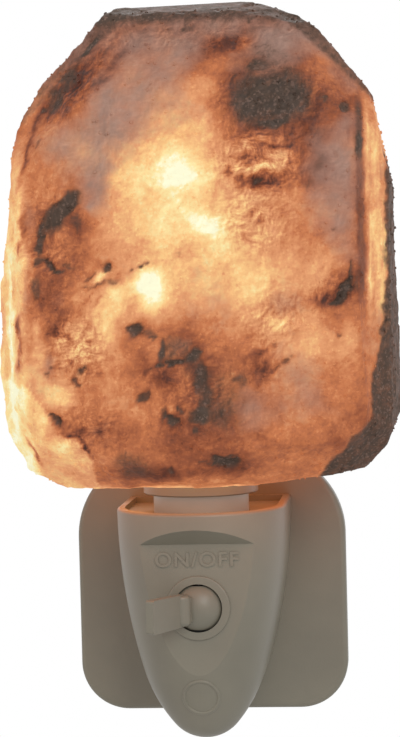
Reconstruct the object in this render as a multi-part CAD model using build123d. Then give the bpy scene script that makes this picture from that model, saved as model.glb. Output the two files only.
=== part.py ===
from build123d import *

import os
from math import cos, radians, sin, tan

# Plug-in night light with a rock-salt shade. Millimetres, +Z up.
# The wall is the plane y = 0, the front looks along -Y, and the origin lies on the
# back face of the wall plate, midway between the two plug blades.

# ---- General -----------------------------------------------------------------
fit_gap = 0.1
edge_bevel = 0.3
overrun = 1.0
tolerance = 0.01

# ---- Wall plate --------------------------------------------------------------
plate_width = 64.5
plate_height = 62.0
plate_drop = 0.5
plate_thickness = 4.5
plate_top_corner = 20.0
plate_bottom_corner = 11.5
plate_edge_round = 1.2
pad_height = 3.5
pad_margin = 3.0

# ---- Plug blades -------------------------------------------------------------
blade_spacing = 12.7
blade_thickness = 1.5
live_blade_width = 6.35
neutral_blade_width = 7.94
blade_length = 17.5
blade_tip_bevel = 0.5
blade_hole_radius = 1.8
blade_hole_from_wall = 11.7
blade_tail = 5.5
blade_shoulder = 1.4
blade_slot_gap = 0.08
clamp_thickness = 1.2

# ---- Front housing -----------------------------------------------------------
neck_standoff = 27.0
rim_height = 20.2
rim_half_width = 19.5
waist_height = -17.5
waist_half_width = 14.2
tip_height = -33.8
nose_radius = 9.6
nose_angle = 50.0
housing_wall = 2.0
rim_wall = 1.8
floor_recess = 1.4
floor_thickness = 2.0
lip_round = 0.7
panel_offset = 14.3
panel_top = 12.8
ledge_slope = 36.0

# ---- Lamp holder and its neck ------------------------------------------------
neck_radius = 11.0
neck_height = 4.9
neck_gap = 0.15
spigot_radius = 11.8
spigot_height = 11.3
sleeve_bore = 10.0
flange_radius = 12.6
flange_thickness = 1.4
socket_floor = 9.5
socket_floor_thickness = 3.0
shell_inner_radius = 6.25
shell_thickness = 0.4
shell_height = 13.5
contact_radius = 3.2
contact_thickness = 0.5
rivet_radius = 0.9
rivet_head_radius = 1.7
rivet_head_height = 0.7
insulator_drop = 3.0
flange_step = 1.0
shell_foot_width = 6.0
shell_foot_gap = 1.0
spring_width = 3.6
spring_foot = 2.0
spring_pad = 1.5
key_gap = 0.2

# ---- Bulb --------------------------------------------------------------------
bulb_radius = 10.8
bulb_length = 54.0
bulb_seat = 14.4
bulb_glass_wall = 0.7
bulb_neck_radius = 5.5
belly_height = 29.0
glass_tuck = 2.5
neck_pull = 6.0
belly_pull = 8.0
crown_pull = 10.0
crown_flatness = 0.45
cap_radius = 5.95
cap_wall = 0.35
cap_height = 11.5
cap_bevel = 0.2
tip_radius = 2.2
tip_thickness = 1.2
cap_insulator_height = 1.6
cap_insulator_foot = 2.6
cap_insulator_head = 4.75
tip_bevel = 0.4
filament_height = 24.0
filament_span = 9.0
filament_wire = 0.3
filament_rise = 2.5
coil_radius = 0.48
stem_radius = 1.9
stem_height = 9.0
stem_foot = 0.8

# ---- Crystal and collar ------------------------------------------------------
collar_radius = 13.25
collar_reveal = 2.6
collar_seat_gap = 0.4
collar_gap = 0.3
collar_lip = 1.5
collar_lip_radius = 11.3
glue_gap = 0.1
crystal_width = 91.5
crystal_height = 109.6
crystal_back = 6.0
crystal_depth = 54.0
crystal_offset = 0.9
crystal_edge = 2.0
plan_clear = 0.4
cavity_height = 67.0
drill_point = 118.0
drill_web = 0.4

# ---- Toggle switch -----------------------------------------------------------
switch_height = -1.7
bezel_radius = 7.35
bezel_proud = 0.5
bezel_round = 0.3
bezel_hole = 5.5
bezel_bush = 6.85
ball_radius = 6.2
ball_gap = 0.3
ball_depth = 3.5
lever_lean = 28.0
lever_reach = 20.0
paddle_thickness = 2.0
paddle_root_height = 7.2
paddle_tip_height = 7.6
paddle_round = 0.6
bead_radius = 2.2
bead_height = 7.0
bead_reach = 7.5
bead_round = 0.9
neck_block_width = 3.4
neck_block_height = 5.4
pivot_pin_radius = 1.0
pivot_gap = 0.05
pin_inset = 0.5
body_width = 16.0
body_height = 13.2
body_bevel = 2.2
terminal_inset = 3.2
rotor_half_height = 5.0
track_width = 1.4
track_thickness = 0.6
body_depth = 13.0
wiper_reach = 8.6
wiper_thickness = 0.5
wiper_width = 3.0
wiper_root = 1.5
contact_gap = 0.3
tab_length = 2.2
tab_width = 2.4
tab_thickness = 0.8

# ---- Screws and wires --------------------------------------------------------
screw_shank_radius = 1.25
screw_head_radius = 2.7
screw_head_height = 1.7
screw_length = 9.0
screw_recess_gap = 0.3
screw_head_round = 0.5
cross_length = 3.2
cross_width = 0.6
cross_depth = 0.8
boss_radius = 3.0
upper_boss_x = 15.5
upper_boss_z = 11.5
upper_boss_depth = 12.0
lower_boss_z = -21.5
wire_radius = 0.8
wire_bend = 1.6
wire_drop = 2.6
switched_run = 4.0
neutral_run = 3.0

# ---- Sizes that follow -------------------------------------------------------
floor_top = rim_height - floor_recess
shoulder = floor_top + neck_height
sleeve_top = shoulder + spigot_height
collar_bottom = shoulder - collar_seat_gap
collar_top = sleeve_top + collar_lip
crystal_bottom = collar_bottom + collar_reveal
cavity_radius = collar_radius + glue_gap
cavity_top = crystal_bottom + cavity_height
panel_y = -(neck_standoff + panel_offset)
panel_back_y = panel_y + housing_wall
pivot_y = panel_y + ball_depth
body_back_y = panel_back_y + body_depth
shell_radius = shell_inner_radius + shell_thickness
insulator_radius = sleeve_bore - fit_gap
socket_seat = socket_floor + socket_floor_thickness
cap_bottom = bulb_seat + tip_thickness + cap_insulator_height
cap_top = cap_bottom + cap_height
bulb_top = bulb_seat + bulb_length
pad_face_y = -(plate_thickness + pad_height)

neck_axis = Pos(0, -neck_standoff, 0)
front = Plane.XZ
side = Plane.YZ


def block(x0, x1, y0, y1, z0, z1):
    """Box between two corners."""
    return Pos((x0 + x1) / 2, (y0 + y1) / 2, (z0 + z1) / 2) * Box(x1 - x0, y1 - y0, z1 - z0)


def rod_z(radius, z0, z1):
    """Upright cylinder about the local Z axis."""
    return Pos(0, 0, (z0 + z1) / 2) * Cylinder(radius, z1 - z0)


def rod_y(radius, y0, y1, x=0.0, z=0.0):
    """Cylinder along Y."""
    return Pos(x, (y0 + y1) / 2, z) * Rot(X=90) * Cylinder(radius, abs(y1 - y0))


def slab(sketch, y0, y1):
    """Face drawn on the XZ plane, extruded from y0 to y1 with y1 nearer the wall."""
    return Pos(0, y0, 0) * extrude(sketch, amount=y1 - y0, dir=(0, 1, 0))


# ---- Front housing -----------------------------------------------------------
def bullet_half(inset, above):
    """Right half of the front outline: round nose, waist arc, near straight flank.

    The inset moves it inwards, and the flank runs on past the rim by the length above.
    """
    turn = radians(nose_angle)
    radius = nose_radius - inset
    centre = tip_height + nose_radius
    nose_end = (radius * sin(turn), centre - radius * cos(turn))
    nose_mid = (radius * sin(turn / 2), centre - radius * cos(turn / 2))
    nose = ThreePointArc((0, centre - radius), nose_mid, nose_end)
    waist_end = (waist_half_width - inset, waist_height)
    waist = TangentArc([nose_end, waist_end], tangent=(cos(turn), sin(turn)))
    flank = TangentArc([waist_end, (rim_half_width - inset, rim_height)], tangent=waist % 1)
    edges = [nose, waist, flank]
    height = rim_height + above
    if above > 0:
        lean = flank % 1
        edges.append(Line(flank @ 1, flank @ 1 + Vector(lean.X / lean.Y * above, above)))
    edges.append(Line(edges[-1] @ 1, (0, height)))
    edges.append(Line((0, height), (0, centre - radius)))
    return make_face(edges)


def bullet_solid(inset, back_y):
    """Front half turned about the neck axis, with straight flanks back to back_y."""
    half = bullet_half(inset, 2 * inset)
    drawn = Pos(0, -neck_standoff, 0) * (front * half)
    crown = revolve(drawn, Axis((0, -neck_standoff, 0), (0, 0, -1)), revolution_arc=180)
    whole = half + mirror(half, about=Plane.YZ)
    return crown + slab(front * whole, -neck_standoff, back_y)


def panel_cutter():
    """Everything in front of the flat panel, under the ledge that slopes up and outwards."""
    far = neck_standoff + 2 * rim_half_width
    rise = (far + panel_y) * tan(radians(ledge_slope))
    corners = [
        (panel_y, 2 * tip_height),
        (panel_y, panel_top),
        (-far, panel_top + rise),
        (-far, 2 * tip_height),
    ]
    section = side * make_face(Polyline(*corners, close=True))
    return extrude(section, amount=2 * rim_half_width, both=True)


def above_level(level):
    """Everything over the housing above one height."""
    reach = 4 * neck_standoff
    return block(-reach, reach, -reach, reach, level, level + reach)


def screw_places():
    """Centres (x, z) of the three screws."""
    return [(-upper_boss_x, upper_boss_z), (upper_boss_x, upper_boss_z), (0, lower_boss_z)]


def front_housing():
    """Moulded bullet shell with rim, recessed floor, sunk panel, ledge and screw bosses."""
    shell = bullet_solid(0, -plate_thickness)
    rim_edges = shell.edges().filter_by(lambda e: e.center().Z > rim_height - tolerance)
    outer = [e for e in rim_edges if e.center().Y < -plate_thickness - tolerance]
    shell = fillet(outer, lip_round)
    shell -= panel_cutter()

    well = bullet_solid(rim_wall, -(plate_thickness + rim_wall))
    shell -= well & above_level(floor_top)

    hollow = bullet_solid(housing_wall, -plate_thickness)
    roof = floor_top - floor_thickness
    hollow -= above_level(roof)
    shell -= hollow & block(-plate_width, plate_width, panel_back_y, 0, 2 * tip_height, rim_height)
    shell -= neck_axis * rod_z(neck_radius + neck_gap, 0, rim_height)
    shell -= rod_y(bezel_bush + neck_gap, panel_y - overrun, panel_back_y + overrun, z=switch_height)

    body = bullet_solid(0, -plate_thickness) - above_level(roof)
    for x, z in screw_places():
        front_end = -(plate_thickness + upper_boss_depth) if z > 0 else panel_back_y
        boss = rod_y(boss_radius, front_end, -plate_thickness, x, z) & body
        boss -= panel_cutter()
        shell += boss
        shell -= rod_y(screw_shank_radius + fit_gap / 2, -(screw_length + overrun), 0, x, z)
    return shell


# ---- Wall plate and plug -----------------------------------------------------
def plate_outline():
    """Rounded square with larger corners at the top, its middle just under the blades."""
    plain = Pos(0, -plate_drop) * Rectangle(plate_width, plate_height)
    rounded = fillet(plain.vertices().group_by(Axis.Y)[-1], plate_top_corner)
    return fillet(rounded.vertices().group_by(Axis.Y)[0], plate_bottom_corner)


def blade_places():
    """Side and width of the neutral and the live blade."""
    half = blade_spacing / 2
    return [(-half, neutral_blade_width), (half, live_blade_width)]


def wall_plate():
    """Back plate with an inner pad that grips the blades and recesses for the screw heads."""
    plate = slab(front * plate_outline(), -plate_thickness, 0)
    face = plate.faces().sort_by(Axis.Y)[0]
    plate = fillet(face.edges(), plate_edge_round)
    pad_x = blade_spacing / 2 + blade_thickness / 2 + pad_margin
    pad_z = neutral_blade_width / 2 + blade_shoulder + pad_margin
    plate += block(-pad_x, pad_x, pad_face_y, -plate_thickness + overrun, -pad_z, pad_z)
    for x, width in blade_places():
        gap = blade_slot_gap
        half_t = blade_thickness / 2 + gap
        half_w = width / 2 + gap
        plate -= block(x - half_t, x + half_t, pad_face_y - overrun, overrun, -half_w, half_w)
        ledge = half_w + blade_shoulder
        plate -= block(x - half_t, x + half_t, pad_face_y - overrun, -plate_thickness, -ledge, ledge)
    for x, z in screw_places():
        plate -= rod_y(screw_shank_radius + screw_recess_gap, -plate_thickness - overrun, overrun, x, z)
        recess = screw_head_height + screw_recess_gap
        plate -= rod_y(screw_head_radius + screw_recess_gap, -recess, overrun, x, z)
    return plate


def blade(x, width):
    """Flat plug blade with bevelled tip, round hole, shoulders in the pad and an inner tail."""
    tail_y = pad_face_y - clamp_thickness - blade_tail
    tail_half = width / 2 - blade_shoulder
    half_t = blade_thickness / 2
    shape = block(x - half_t, x + half_t, pad_face_y, blade_length, -width / 2, width / 2)
    tips = [e for e in shape.edges() if e.center().Y > blade_length - tolerance]
    shape = chamfer(tips, blade_tip_bevel)
    shoulder_z = width / 2 + blade_shoulder
    shape += block(x - half_t, x + half_t, pad_face_y, -plate_thickness, -shoulder_z, shoulder_z)
    shape += block(x - half_t, x + half_t, tail_y, pad_face_y, -tail_half, tail_half)
    hole = Pos(x, blade_hole_from_wall, 0) * Rot(Y=90) * Cylinder(blade_hole_radius, 3 * blade_thickness)
    return shape - hole


def blade_clamp():
    """Fibre plate that lies on the pad and traps the blades' shoulders."""
    half_x = blade_spacing / 2 + blade_thickness / 2 + pad_margin
    half_z = neutral_blade_width / 2 + blade_shoulder + pad_margin
    plate = block(-half_x, half_x, pad_face_y - clamp_thickness, pad_face_y, -half_z, half_z)
    for x, width in blade_places():
        half_t = blade_thickness / 2 + blade_slot_gap
        half_w = width / 2 - blade_shoulder + blade_slot_gap
        plate -= block(x - half_t, x + half_t, pad_face_y - 2 * clamp_thickness, 0, -half_w, half_w)
    return plate


def cover_screws():
    """Three cross-head screws from the back of the plate into the housing's bosses."""
    recess = screw_head_height
    screws = []
    for x, z in screw_places():
        screw = rod_y(screw_head_radius, -recess, 0, x, z)
        screw = fillet(screw.edges().sort_by(Axis.Y)[-1], screw_head_round)
        screw = Pos(0, -screw_recess_gap, 0) * screw
        screw += rod_y(screw_shank_radius, -screw_length, -recess, x, z)
        half_l = cross_length / 2
        half_w = cross_width / 2
        slot = block(-half_l, half_l, -screw_recess_gap - cross_depth, overrun, -half_w, half_w)
        cross = slot + Rot(Y=90) * slot
        screws.append(screw - Pos(x, 0, z) * cross)
    return Compound(screws)


# ---- Lamp holder -------------------------------------------------------------
def keyed(disc):
    """Disc about the neck axis with a flat that lies along the back of the panel wall."""
    flat = panel_back_y + neck_standoff + key_gap
    return disc & block(-2 * neck_radius, 2 * neck_radius, flat, 2 * neck_radius, 0, sleeve_top)


def lamp_holder_sleeve():
    """Stepped neck: retaining flange under the floor, visible neck, wider spigot above."""
    flange_top = floor_top - floor_thickness
    outer = keyed(rod_z(flange_radius, flange_top - flange_thickness, flange_top))
    outer += rod_z(neck_radius, flange_top - flange_thickness, shoulder)
    outer += rod_z(spigot_radius, shoulder, sleeve_top)
    rim = outer.edges().sort_by(Axis.Z)[-1]
    outer = chamfer(rim, edge_bevel)
    return neck_axis * (outer - rod_z(sleeve_bore, 0, sleeve_top + overrun))


def socket_insulator():
    """Moulded cup in the sleeve that holds the screw shell, with a foot flange below it."""
    flange_bottom = floor_top - floor_thickness - flange_thickness
    cup = rod_z(insulator_radius, socket_floor, sleeve_top - insulator_drop)
    cup += keyed(rod_z(flange_radius - flange_step, socket_floor, flange_bottom))
    cup -= rod_z(shell_radius + fit_gap, socket_seat, sleeve_top)
    for x in (0, shell_radius - rivet_head_radius):
        cup -= Pos(x, 0, 0) * rod_z(rivet_radius + fit_gap / 2, 0, sleeve_top)
    return neck_axis * cup


def socket_screw_shell():
    """Brass shell that takes the bulb's cap, with a turned-in foot under its rivet."""
    top = socket_seat + contact_thickness + shell_height
    shell = rod_z(shell_radius, socket_seat, top) - rod_z(shell_inner_radius, 0, top + overrun)
    foot = rod_z(shell_radius, socket_seat, socket_seat + contact_thickness)
    half = shell_foot_width / 2
    foot &= block(contact_radius + shell_foot_gap, shell_radius, -half, half, 0, top)
    foot -= Pos(shell_radius - rivet_head_radius, 0, 0) * rod_z(rivet_radius + fit_gap / 2, 0, top)
    return neck_axis * (shell + foot)


def socket_centre_contact():
    """Brass spring: a flat foot under the rivet, a riser and a pad that meets the bulb's tip."""
    half = spring_width / 2
    foot_top = socket_seat + contact_thickness
    foot = block(-contact_radius, spring_foot, -half, half, socket_seat, foot_top)
    riser = block(-contact_radius, -contact_radius + contact_thickness, -half, half, socket_seat, bulb_seat)
    pad = block(-contact_radius, spring_pad, -half, half, bulb_seat - contact_thickness, bulb_seat)
    spring = foot + riser + pad
    spring -= rod_z(rivet_radius + fit_gap / 2, 0, foot_top + tolerance)
    return neck_axis * spring


def socket_rivets():
    """Two brass rivets through the cup's floor, one for each contact."""
    bottom = socket_floor - rivet_head_height
    top = socket_seat + contact_thickness
    low_head = rod_z(rivet_head_radius, bottom, socket_floor)
    shank = rod_z(rivet_radius, bottom, top)
    rivet = low_head + shank
    places = (0, shell_radius - rivet_head_radius)
    return neck_axis * Compound([Pos(x, 0, 0) * rivet for x in places])


# ---- Bulb --------------------------------------------------------------------
def glass_profile(inset):
    """Half section of the C7 envelope, drawn as radius against height."""
    foot = cap_top - glass_tuck + inset
    neck = bulb_neck_radius - inset
    widest = bulb_radius - inset
    belly = bulb_seat + belly_height
    top = bulb_top - inset
    low_pull = (neck, cap_top + neck_pull)
    flare = Bezier((neck, cap_top), low_pull, (widest, belly - belly_pull), (widest, belly))
    crown = Bezier((widest, belly), (widest, belly + crown_pull), (crown_flatness * widest, top), (0, top))
    wall = Line((neck, foot), (neck, cap_top))
    base = Line((0, foot), (neck, foot))
    axis = Line((0, top), (0, foot))
    return make_face([base, wall, flare, crown, axis])


def turned(profile):
    """Profile of radius against height, turned about the neck axis."""
    return neck_axis * revolve(front * profile, Axis.Z)


def bulb_glass():
    """Closed envelope of even wall."""
    return turned(glass_profile(0)) - turned(glass_profile(bulb_glass_wall))


def bulb_stem():
    """Glass flare and stem that carry the filament's supports."""
    foot = cap_top - glass_tuck + bulb_glass_wall
    disc = rod_z(bulb_neck_radius - bulb_glass_wall - fit_gap, foot, foot + stem_foot)
    post = rod_z(stem_radius, foot, foot + stem_height)
    button = Pos(0, 0, foot + stem_height) * Sphere(stem_radius)
    return neck_axis * (disc + post + button)


def bulb_filament():
    """Two support wires and the coil between them, bent as an arch."""
    start = cap_top - glass_tuck + bulb_glass_wall + stem_height
    half = filament_span / 2
    top = start + filament_height - stem_height
    legs = []
    for sign in (-1, 1):
        path = Line((sign * (stem_radius + filament_wire + fit_gap), 0, start), (sign * half, 0, top))
        section = Plane(path @ 0, z_dir=path % 0) * Circle(filament_wire)
        legs.append(sweep(section, path))
    arch = ThreePointArc((-half, 0, top), (0, 0, top + filament_rise), (half, 0, top))
    section = Plane(arch @ 0, z_dir=arch % 0) * Circle(coil_radius)
    coil = sweep(section, arch)
    return neck_axis * (coil + legs[0] + legs[1])


def bulb_cap():
    """Candelabra cap: thin brass cup round the glass neck."""
    cup = rod_z(cap_radius, cap_bottom, cap_top)
    hollow = rod_z(cap_radius - cap_wall, cap_bottom + cap_wall, cap_top + overrun)
    cup = chamfer(cup.edges().sort_by(Axis.Z)[0], cap_bevel)
    return neck_axis * (cup - hollow)


def bulb_cap_insulator():
    """Black glass cone under the cap."""
    height = cap_insulator_height
    cone = Pos(0, 0, cap_bottom - height / 2) * Cone(cap_insulator_foot, cap_insulator_head, height)
    return neck_axis * cone


def bulb_tip_contact():
    """Solder button in the middle of the cap."""
    button = rod_z(tip_radius, bulb_seat, bulb_seat + tip_thickness)
    return neck_axis * chamfer(button.edges().sort_by(Axis.Z)[0], tip_bevel)


# ---- Crystal and collar ------------------------------------------------------
def crystal_front():
    """Front outline of the rock: flat foot, bulging flanks, sloped shoulders, flat crown."""
    left = crystal_offset - crystal_width / 2
    right = crystal_offset + crystal_width / 2
    low = crystal_bottom
    high = crystal_bottom + crystal_height
    corners = [
        (left + 17.0, low),
        (left + 8.6, low + 3.6),
        (left + 3.8, low + 12.0),
        (left + 1.2, low + 26.0),
        (left + 2.6, low + 46.0),
        (left + 5.9, low + 63.0),
        (left + 7.2, low + 80.0),
        (left + 12.6, low + 91.5),
        (left + 24.8, high - 6.2),
        (left + 28.8, high - 1.2),
        (right - 31.0, high),
        (right - 20.5, high - 3.8),
        (right - 5.4, high - 22.0),
        (right - 1.2, high - 43.0),
        (right, low + 17.0),
        (right - 3.2, low + 9.0),
        (right - 8.0, low + 3.4),
        (right - 38.0, low),
    ]
    return make_face(Polyline(*corners, close=True))


def crystal_side():
    """Side outline: flat back, bellied front and a crown that leans back.

    It runs a little past the foot and the crown of the front outline.
    """
    back = -crystal_back
    nose = -(crystal_back + crystal_depth)
    low = crystal_bottom - plan_clear
    high = crystal_bottom + crystal_height + plan_clear
    corners = [
        (back - 2.0, low),
        (back, low + 12.0),
        (back, high - 30.0),
        (back - 9.0, high - 3.0),
        (back - 22.0, high),
        (nose + 16.0, high - 4.0),
        (nose + 5.0, high - 20.0),
        (nose, high - 45.0),
        (nose + 1.0, low + 14.0),
        (nose + 7.0, low + 2.8),
        (nose + 19.0, low),
    ]
    return make_face(Polyline(*corners, close=True))


def crystal_plan():
    """Outline from above with the ledge of a split slab at the front right.

    It lies a little outside the other two outlines.
    """
    left = crystal_offset - crystal_width / 2 - plan_clear
    right = crystal_offset + crystal_width / 2 + plan_clear
    back = -crystal_back + plan_clear
    nose = -(crystal_back + crystal_depth) - plan_clear
    corners = [
        (left + 4.0, back - 1.0),
        (left, back - 18.0),
        (left + 1.4, back - 36.0),
        (left + 9.5, nose + 3.5),
        (left + 30.0, nose),
        (right - 26.0, nose),
        (right - 8.6, nose + 3.4),
        (right - 7.2, nose + 8.6),
        (right - 2.2, nose + 14.0),
        (right, back - 28.0),
        (right - 3.0, back - 6.0),
        (right - 9.0, back),
        (left + 16.0, back),
    ]
    return make_face(Polyline(*corners, close=True))


def softened(outline, radius):
    """Outline with all its corners rounded."""
    return fillet(outline.vertices(), radius)


def crystal_facets():
    """Cleaved faces: compass angle from the front, angle upwards, share of the full reach."""
    return [
        (-38, 30, 0.61),
        (40, 32, 0.667),
        (45, -39, 0.775),
        (-50, -25, 0.753),
        (-8, 5, 0.745),
        (7, 7, 0.745),
        (9, -6, 0.775),
        (-7, -7, 0.775),
        (-20, -50, 0.775),
        (14, -52, 0.79),
        (-140, 44, 0.70),
        (150, 50, 0.74),
        (-128, -8, 0.81),
        (128, -30, 0.80),
        (172, 12, 0.715),
        (-170, -14, 0.75),
        (100, 14, 0.80),
        (20, 72, 0.815),
        (120, 68, 0.78),
    ]


def cleaved(lump):
    """Rock with each facet cut flat across its corner."""
    middle = Vector(crystal_offset, -(crystal_back + crystal_depth / 2), crystal_bottom + crystal_height / 2)
    reach = (crystal_width / 2, crystal_depth / 2, crystal_height / 2)
    size = 2 * crystal_height
    for compass, rise, share in crystal_facets():
        flat = cos(radians(rise))
        normal = Vector(sin(radians(compass)) * flat, -cos(radians(compass)) * flat, sin(radians(rise)))
        full = abs(normal.X) * reach[0] + abs(normal.Y) * reach[1] + abs(normal.Z) * reach[2]
        plane = Plane(middle + normal * full * share, z_dir=normal)
        lump -= plane * Pos(0, 0, size / 2) * Box(size, size, size)
    return lump


def salt_crystal():
    """Rough-hewn lump bounded by three outlines and its facets, drilled from below."""
    middle = -(crystal_back + crystal_depth / 2)
    reach = crystal_depth
    lump = slab(front * softened(crystal_front(), crystal_edge), middle - reach, middle + reach)
    lump &= extrude(side * softened(crystal_side(), crystal_edge), amount=crystal_width, both=True)
    rise = crystal_bottom + crystal_height
    lump &= extrude(softened(crystal_plan(), crystal_edge), amount=2 * rise, dir=(0, 0, 1))
    lump = cleaved(lump)
    bore = rod_z(cavity_radius, crystal_bottom - overrun, cavity_top)
    point = cavity_radius / tan(radians(drill_point / 2))
    cone = Pos(0, 0, cavity_top + point / 2) * Cone(cavity_radius, drill_web, point)
    return lump - neck_axis * (bore + cone)


def crystal_collar():
    """Plastic bush glued in the bore: rests with its inner lip on the sleeve's top face."""
    bore = spigot_radius + collar_gap
    bush = rod_z(collar_radius, collar_bottom, collar_top)
    bush = chamfer(bush.edges().sort_by(Axis.Z)[0], edge_bevel)
    bush -= rod_z(bore, collar_bottom - overrun, sleeve_top)
    bush -= rod_z(collar_lip_radius, 0, collar_top + overrun)
    return neck_axis * bush


# ---- Toggle switch -----------------------------------------------------------
def about_pivot(shape, angle):
    """Shape drawn pointing along -Y from the pivot, turned about the pivot's upright axis."""
    return Pos(0, pivot_y, switch_height) * Rot(Z=angle) * shape


def switch_bezel():
    """Ring on the panel with a short bush that lines the panel's hole."""
    flange = rod_y(bezel_radius, panel_y - bezel_proud, panel_y)
    rim = flange.edges().sort_by(Axis.Y)[0]
    flange = fillet(rim, bezel_round)
    ring = flange + rod_y(bezel_bush, panel_y, panel_back_y)
    ring -= rod_y(bezel_hole, panel_y - bezel_proud - overrun, panel_y)
    ring -= rod_y(ball_radius + ball_gap, panel_y, panel_back_y + overrun)
    return Pos(0, 0, switch_height) * ring


def switch_lever():
    """Toggle: ball rotor on the pivot pin, narrow neck, round bead and flat paddle."""
    rotor = Sphere(ball_radius) & rod_z(2 * ball_radius, -rotor_half_height, rotor_half_height)
    neck = block(-neck_block_width / 2, neck_block_width / 2, -bead_reach, 0,
                 -neck_block_height / 2, neck_block_height / 2)
    bead = rod_z(bead_radius, -bead_height / 2, bead_height / 2)
    bead = Pos(0, -bead_reach, 0) * fillet(bead.edges().filter_by(GeomType.CIRCLE), bead_round)
    blade_face = make_face(Polyline(
        (-bead_reach, -paddle_root_height / 2),
        (-bead_reach, paddle_root_height / 2),
        (-lever_reach, paddle_tip_height / 2),
        (-lever_reach, -paddle_tip_height / 2),
        close=True,
    ))
    tips = blade_face.vertices().filter_by(lambda v: v.X < -lever_reach + tolerance)
    blade_face = fillet(tips, paddle_round)
    paddle = extrude(side * blade_face, amount=paddle_thickness / 2, both=True)
    shape = rotor + neck + bead + paddle
    shape -= rod_z(pivot_pin_radius + pivot_gap, -ball_radius, ball_radius)
    half_w = wiper_width / 2
    tail = block(-half_w, half_w, 0, ball_radius, -wiper_thickness / 2, wiper_thickness / 2)
    slot = tail & (Sphere(ball_radius + overrun) - Sphere(ball_radius - wiper_root))
    return about_pivot(shape - slot, -lever_lean)


def switch_wiper():
    """Brass blade let into the rotor's tail; it reaches the live contact with the toggle left."""
    blade_plate = block(-wiper_width / 2, wiper_width / 2, 0, wiper_reach,
                        -wiper_thickness / 2, wiper_thickness / 2)
    blade_plate &= Sphere(wiper_reach) - Sphere(ball_radius - wiper_root)
    return about_pivot(blade_plate, -lever_lean)


def switch_pivot_pin():
    """Steel pin through the rotor, held in the cheeks of the switch body."""
    half = body_height / 2 - pin_inset
    return Pos(0, pivot_y, switch_height) * rod_z(pivot_pin_radius, -half, half)


def switch_body():
    """Insulating block behind the panel: upright round well for the rotor, pocket behind it."""
    half_w = body_width / 2
    half_h = body_height / 2
    body = block(-half_w, half_w, panel_back_y, body_back_y, -half_h, half_h)
    body = chamfer(body.edges().filter_by(Axis.Y), body_bevel)
    well = ball_radius + ball_gap
    well_half = rotor_half_height + ball_gap
    body -= block(-well, well, panel_back_y - overrun, pivot_y, -well_half, well_half)
    body -= Pos(0, pivot_y, 0) * rod_z(well, -well_half, well_half)
    pocket_x = wiper_reach * sin(radians(lever_lean)) + wiper_width / 2 + 2 * contact_gap
    pocket_back = pivot_y + wiper_reach + contact_gap
    pocket_z = wiper_thickness / 2 + contact_gap + track_thickness + contact_gap
    body -= block(-pocket_x, pocket_x, pivot_y, pocket_back, -pocket_z, pocket_z)
    body -= Pos(0, pivot_y, 0) * rod_z(pivot_pin_radius + pivot_gap, -half_h, half_h)
    for x in (-terminal_x(), terminal_x()):
        body -= contact_slot(x, fit_gap)
    return Pos(0, 0, switch_height) * body


def terminal_x():
    """Distance of both terminals from the switch's middle."""
    return body_width / 2 - terminal_inset


def contact_slot(x, gap):
    """Upright strip through the back wall of the switch body."""
    half = tab_thickness / 2 + gap
    tall = tab_width / 2 + gap
    inner = pivot_y + wiper_reach - track_width - tab_thickness
    return block(x - half, x + half, inner, body_back_y + tab_length, -tall, tall)


def wiper_sweep(low):
    """Room that the wiper's blade needs about the pivot, from a height upwards."""
    return about_pivot(rod_z(wiper_reach + contact_gap, low, body_height), 0)


def switch_contact():
    """Fixed live contact: the wiper stands before its inner end with the toggle left."""
    strip = Pos(0, 0, switch_height) * contact_slot(terminal_x(), 0)
    return strip - wiper_sweep(-body_height)


def switch_common():
    """Fixed common contact: a curved track under the wiper's tip, with its own tab."""
    top = -(wiper_thickness / 2 + contact_gap)
    low = top - track_thickness
    track = rod_z(wiper_reach, low, top)
    track -= rod_z(wiper_reach - track_width, low - overrun, top + overrun)
    half = terminal_x() + tab_thickness / 2
    track &= block(-half, half, 0, wiper_reach, low, top)
    tab = Pos(0, 0, switch_height) * contact_slot(-terminal_x(), 0)
    return (tab - wiper_sweep(top)) + about_pivot(track, 0)


# ---- Wires -------------------------------------------------------------------
def wire(points):
    """Insulated lead along straight runs with rounded bends."""
    path = FilletPolyline(*points, radius=wire_bend)
    section = Plane(path @ 0, z_dir=path % 0) * Circle(wire_radius)
    return sweep(section, path)


def tail_end_y():
    """Inner end of the blades' tails."""
    return pad_face_y - clamp_thickness - blade_tail


def lead_live():
    """From the live blade's tail to the live contact of the switch."""
    start = (blade_spacing / 2, tail_end_y(), 0)
    end = (terminal_x(), body_back_y + tab_length, switch_height)
    mid_y = (start[1] + end[1]) / 2
    return wire([start, (start[0], mid_y, 0), (end[0], mid_y, end[2]), end])


def lead_switched():
    """From the common contact of the switch up to the centre contact's rivet."""
    start = (-terminal_x(), body_back_y + tab_length, switch_height)
    out_y = start[1] + switched_run
    end = (0, -neck_standoff, socket_floor - rivet_head_height)
    run_z = end[2] - wire_drop
    return wire([start, (start[0], out_y, start[2]), (0, out_y, run_z), (0, end[1], run_z), end])


def lead_neutral():
    """From the neutral blade's tail up to the screw shell's rivet."""
    start = (-blade_spacing / 2, tail_end_y(), 0)
    end = (shell_radius - rivet_head_radius, -neck_standoff, socket_floor - rivet_head_height)
    out_y = start[1] - neutral_run
    run_z = end[2] - wire_drop
    return wire([start, (start[0], out_y, 0), (end[0], out_y, run_z), (end[0], end[1], run_z), end])


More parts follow.
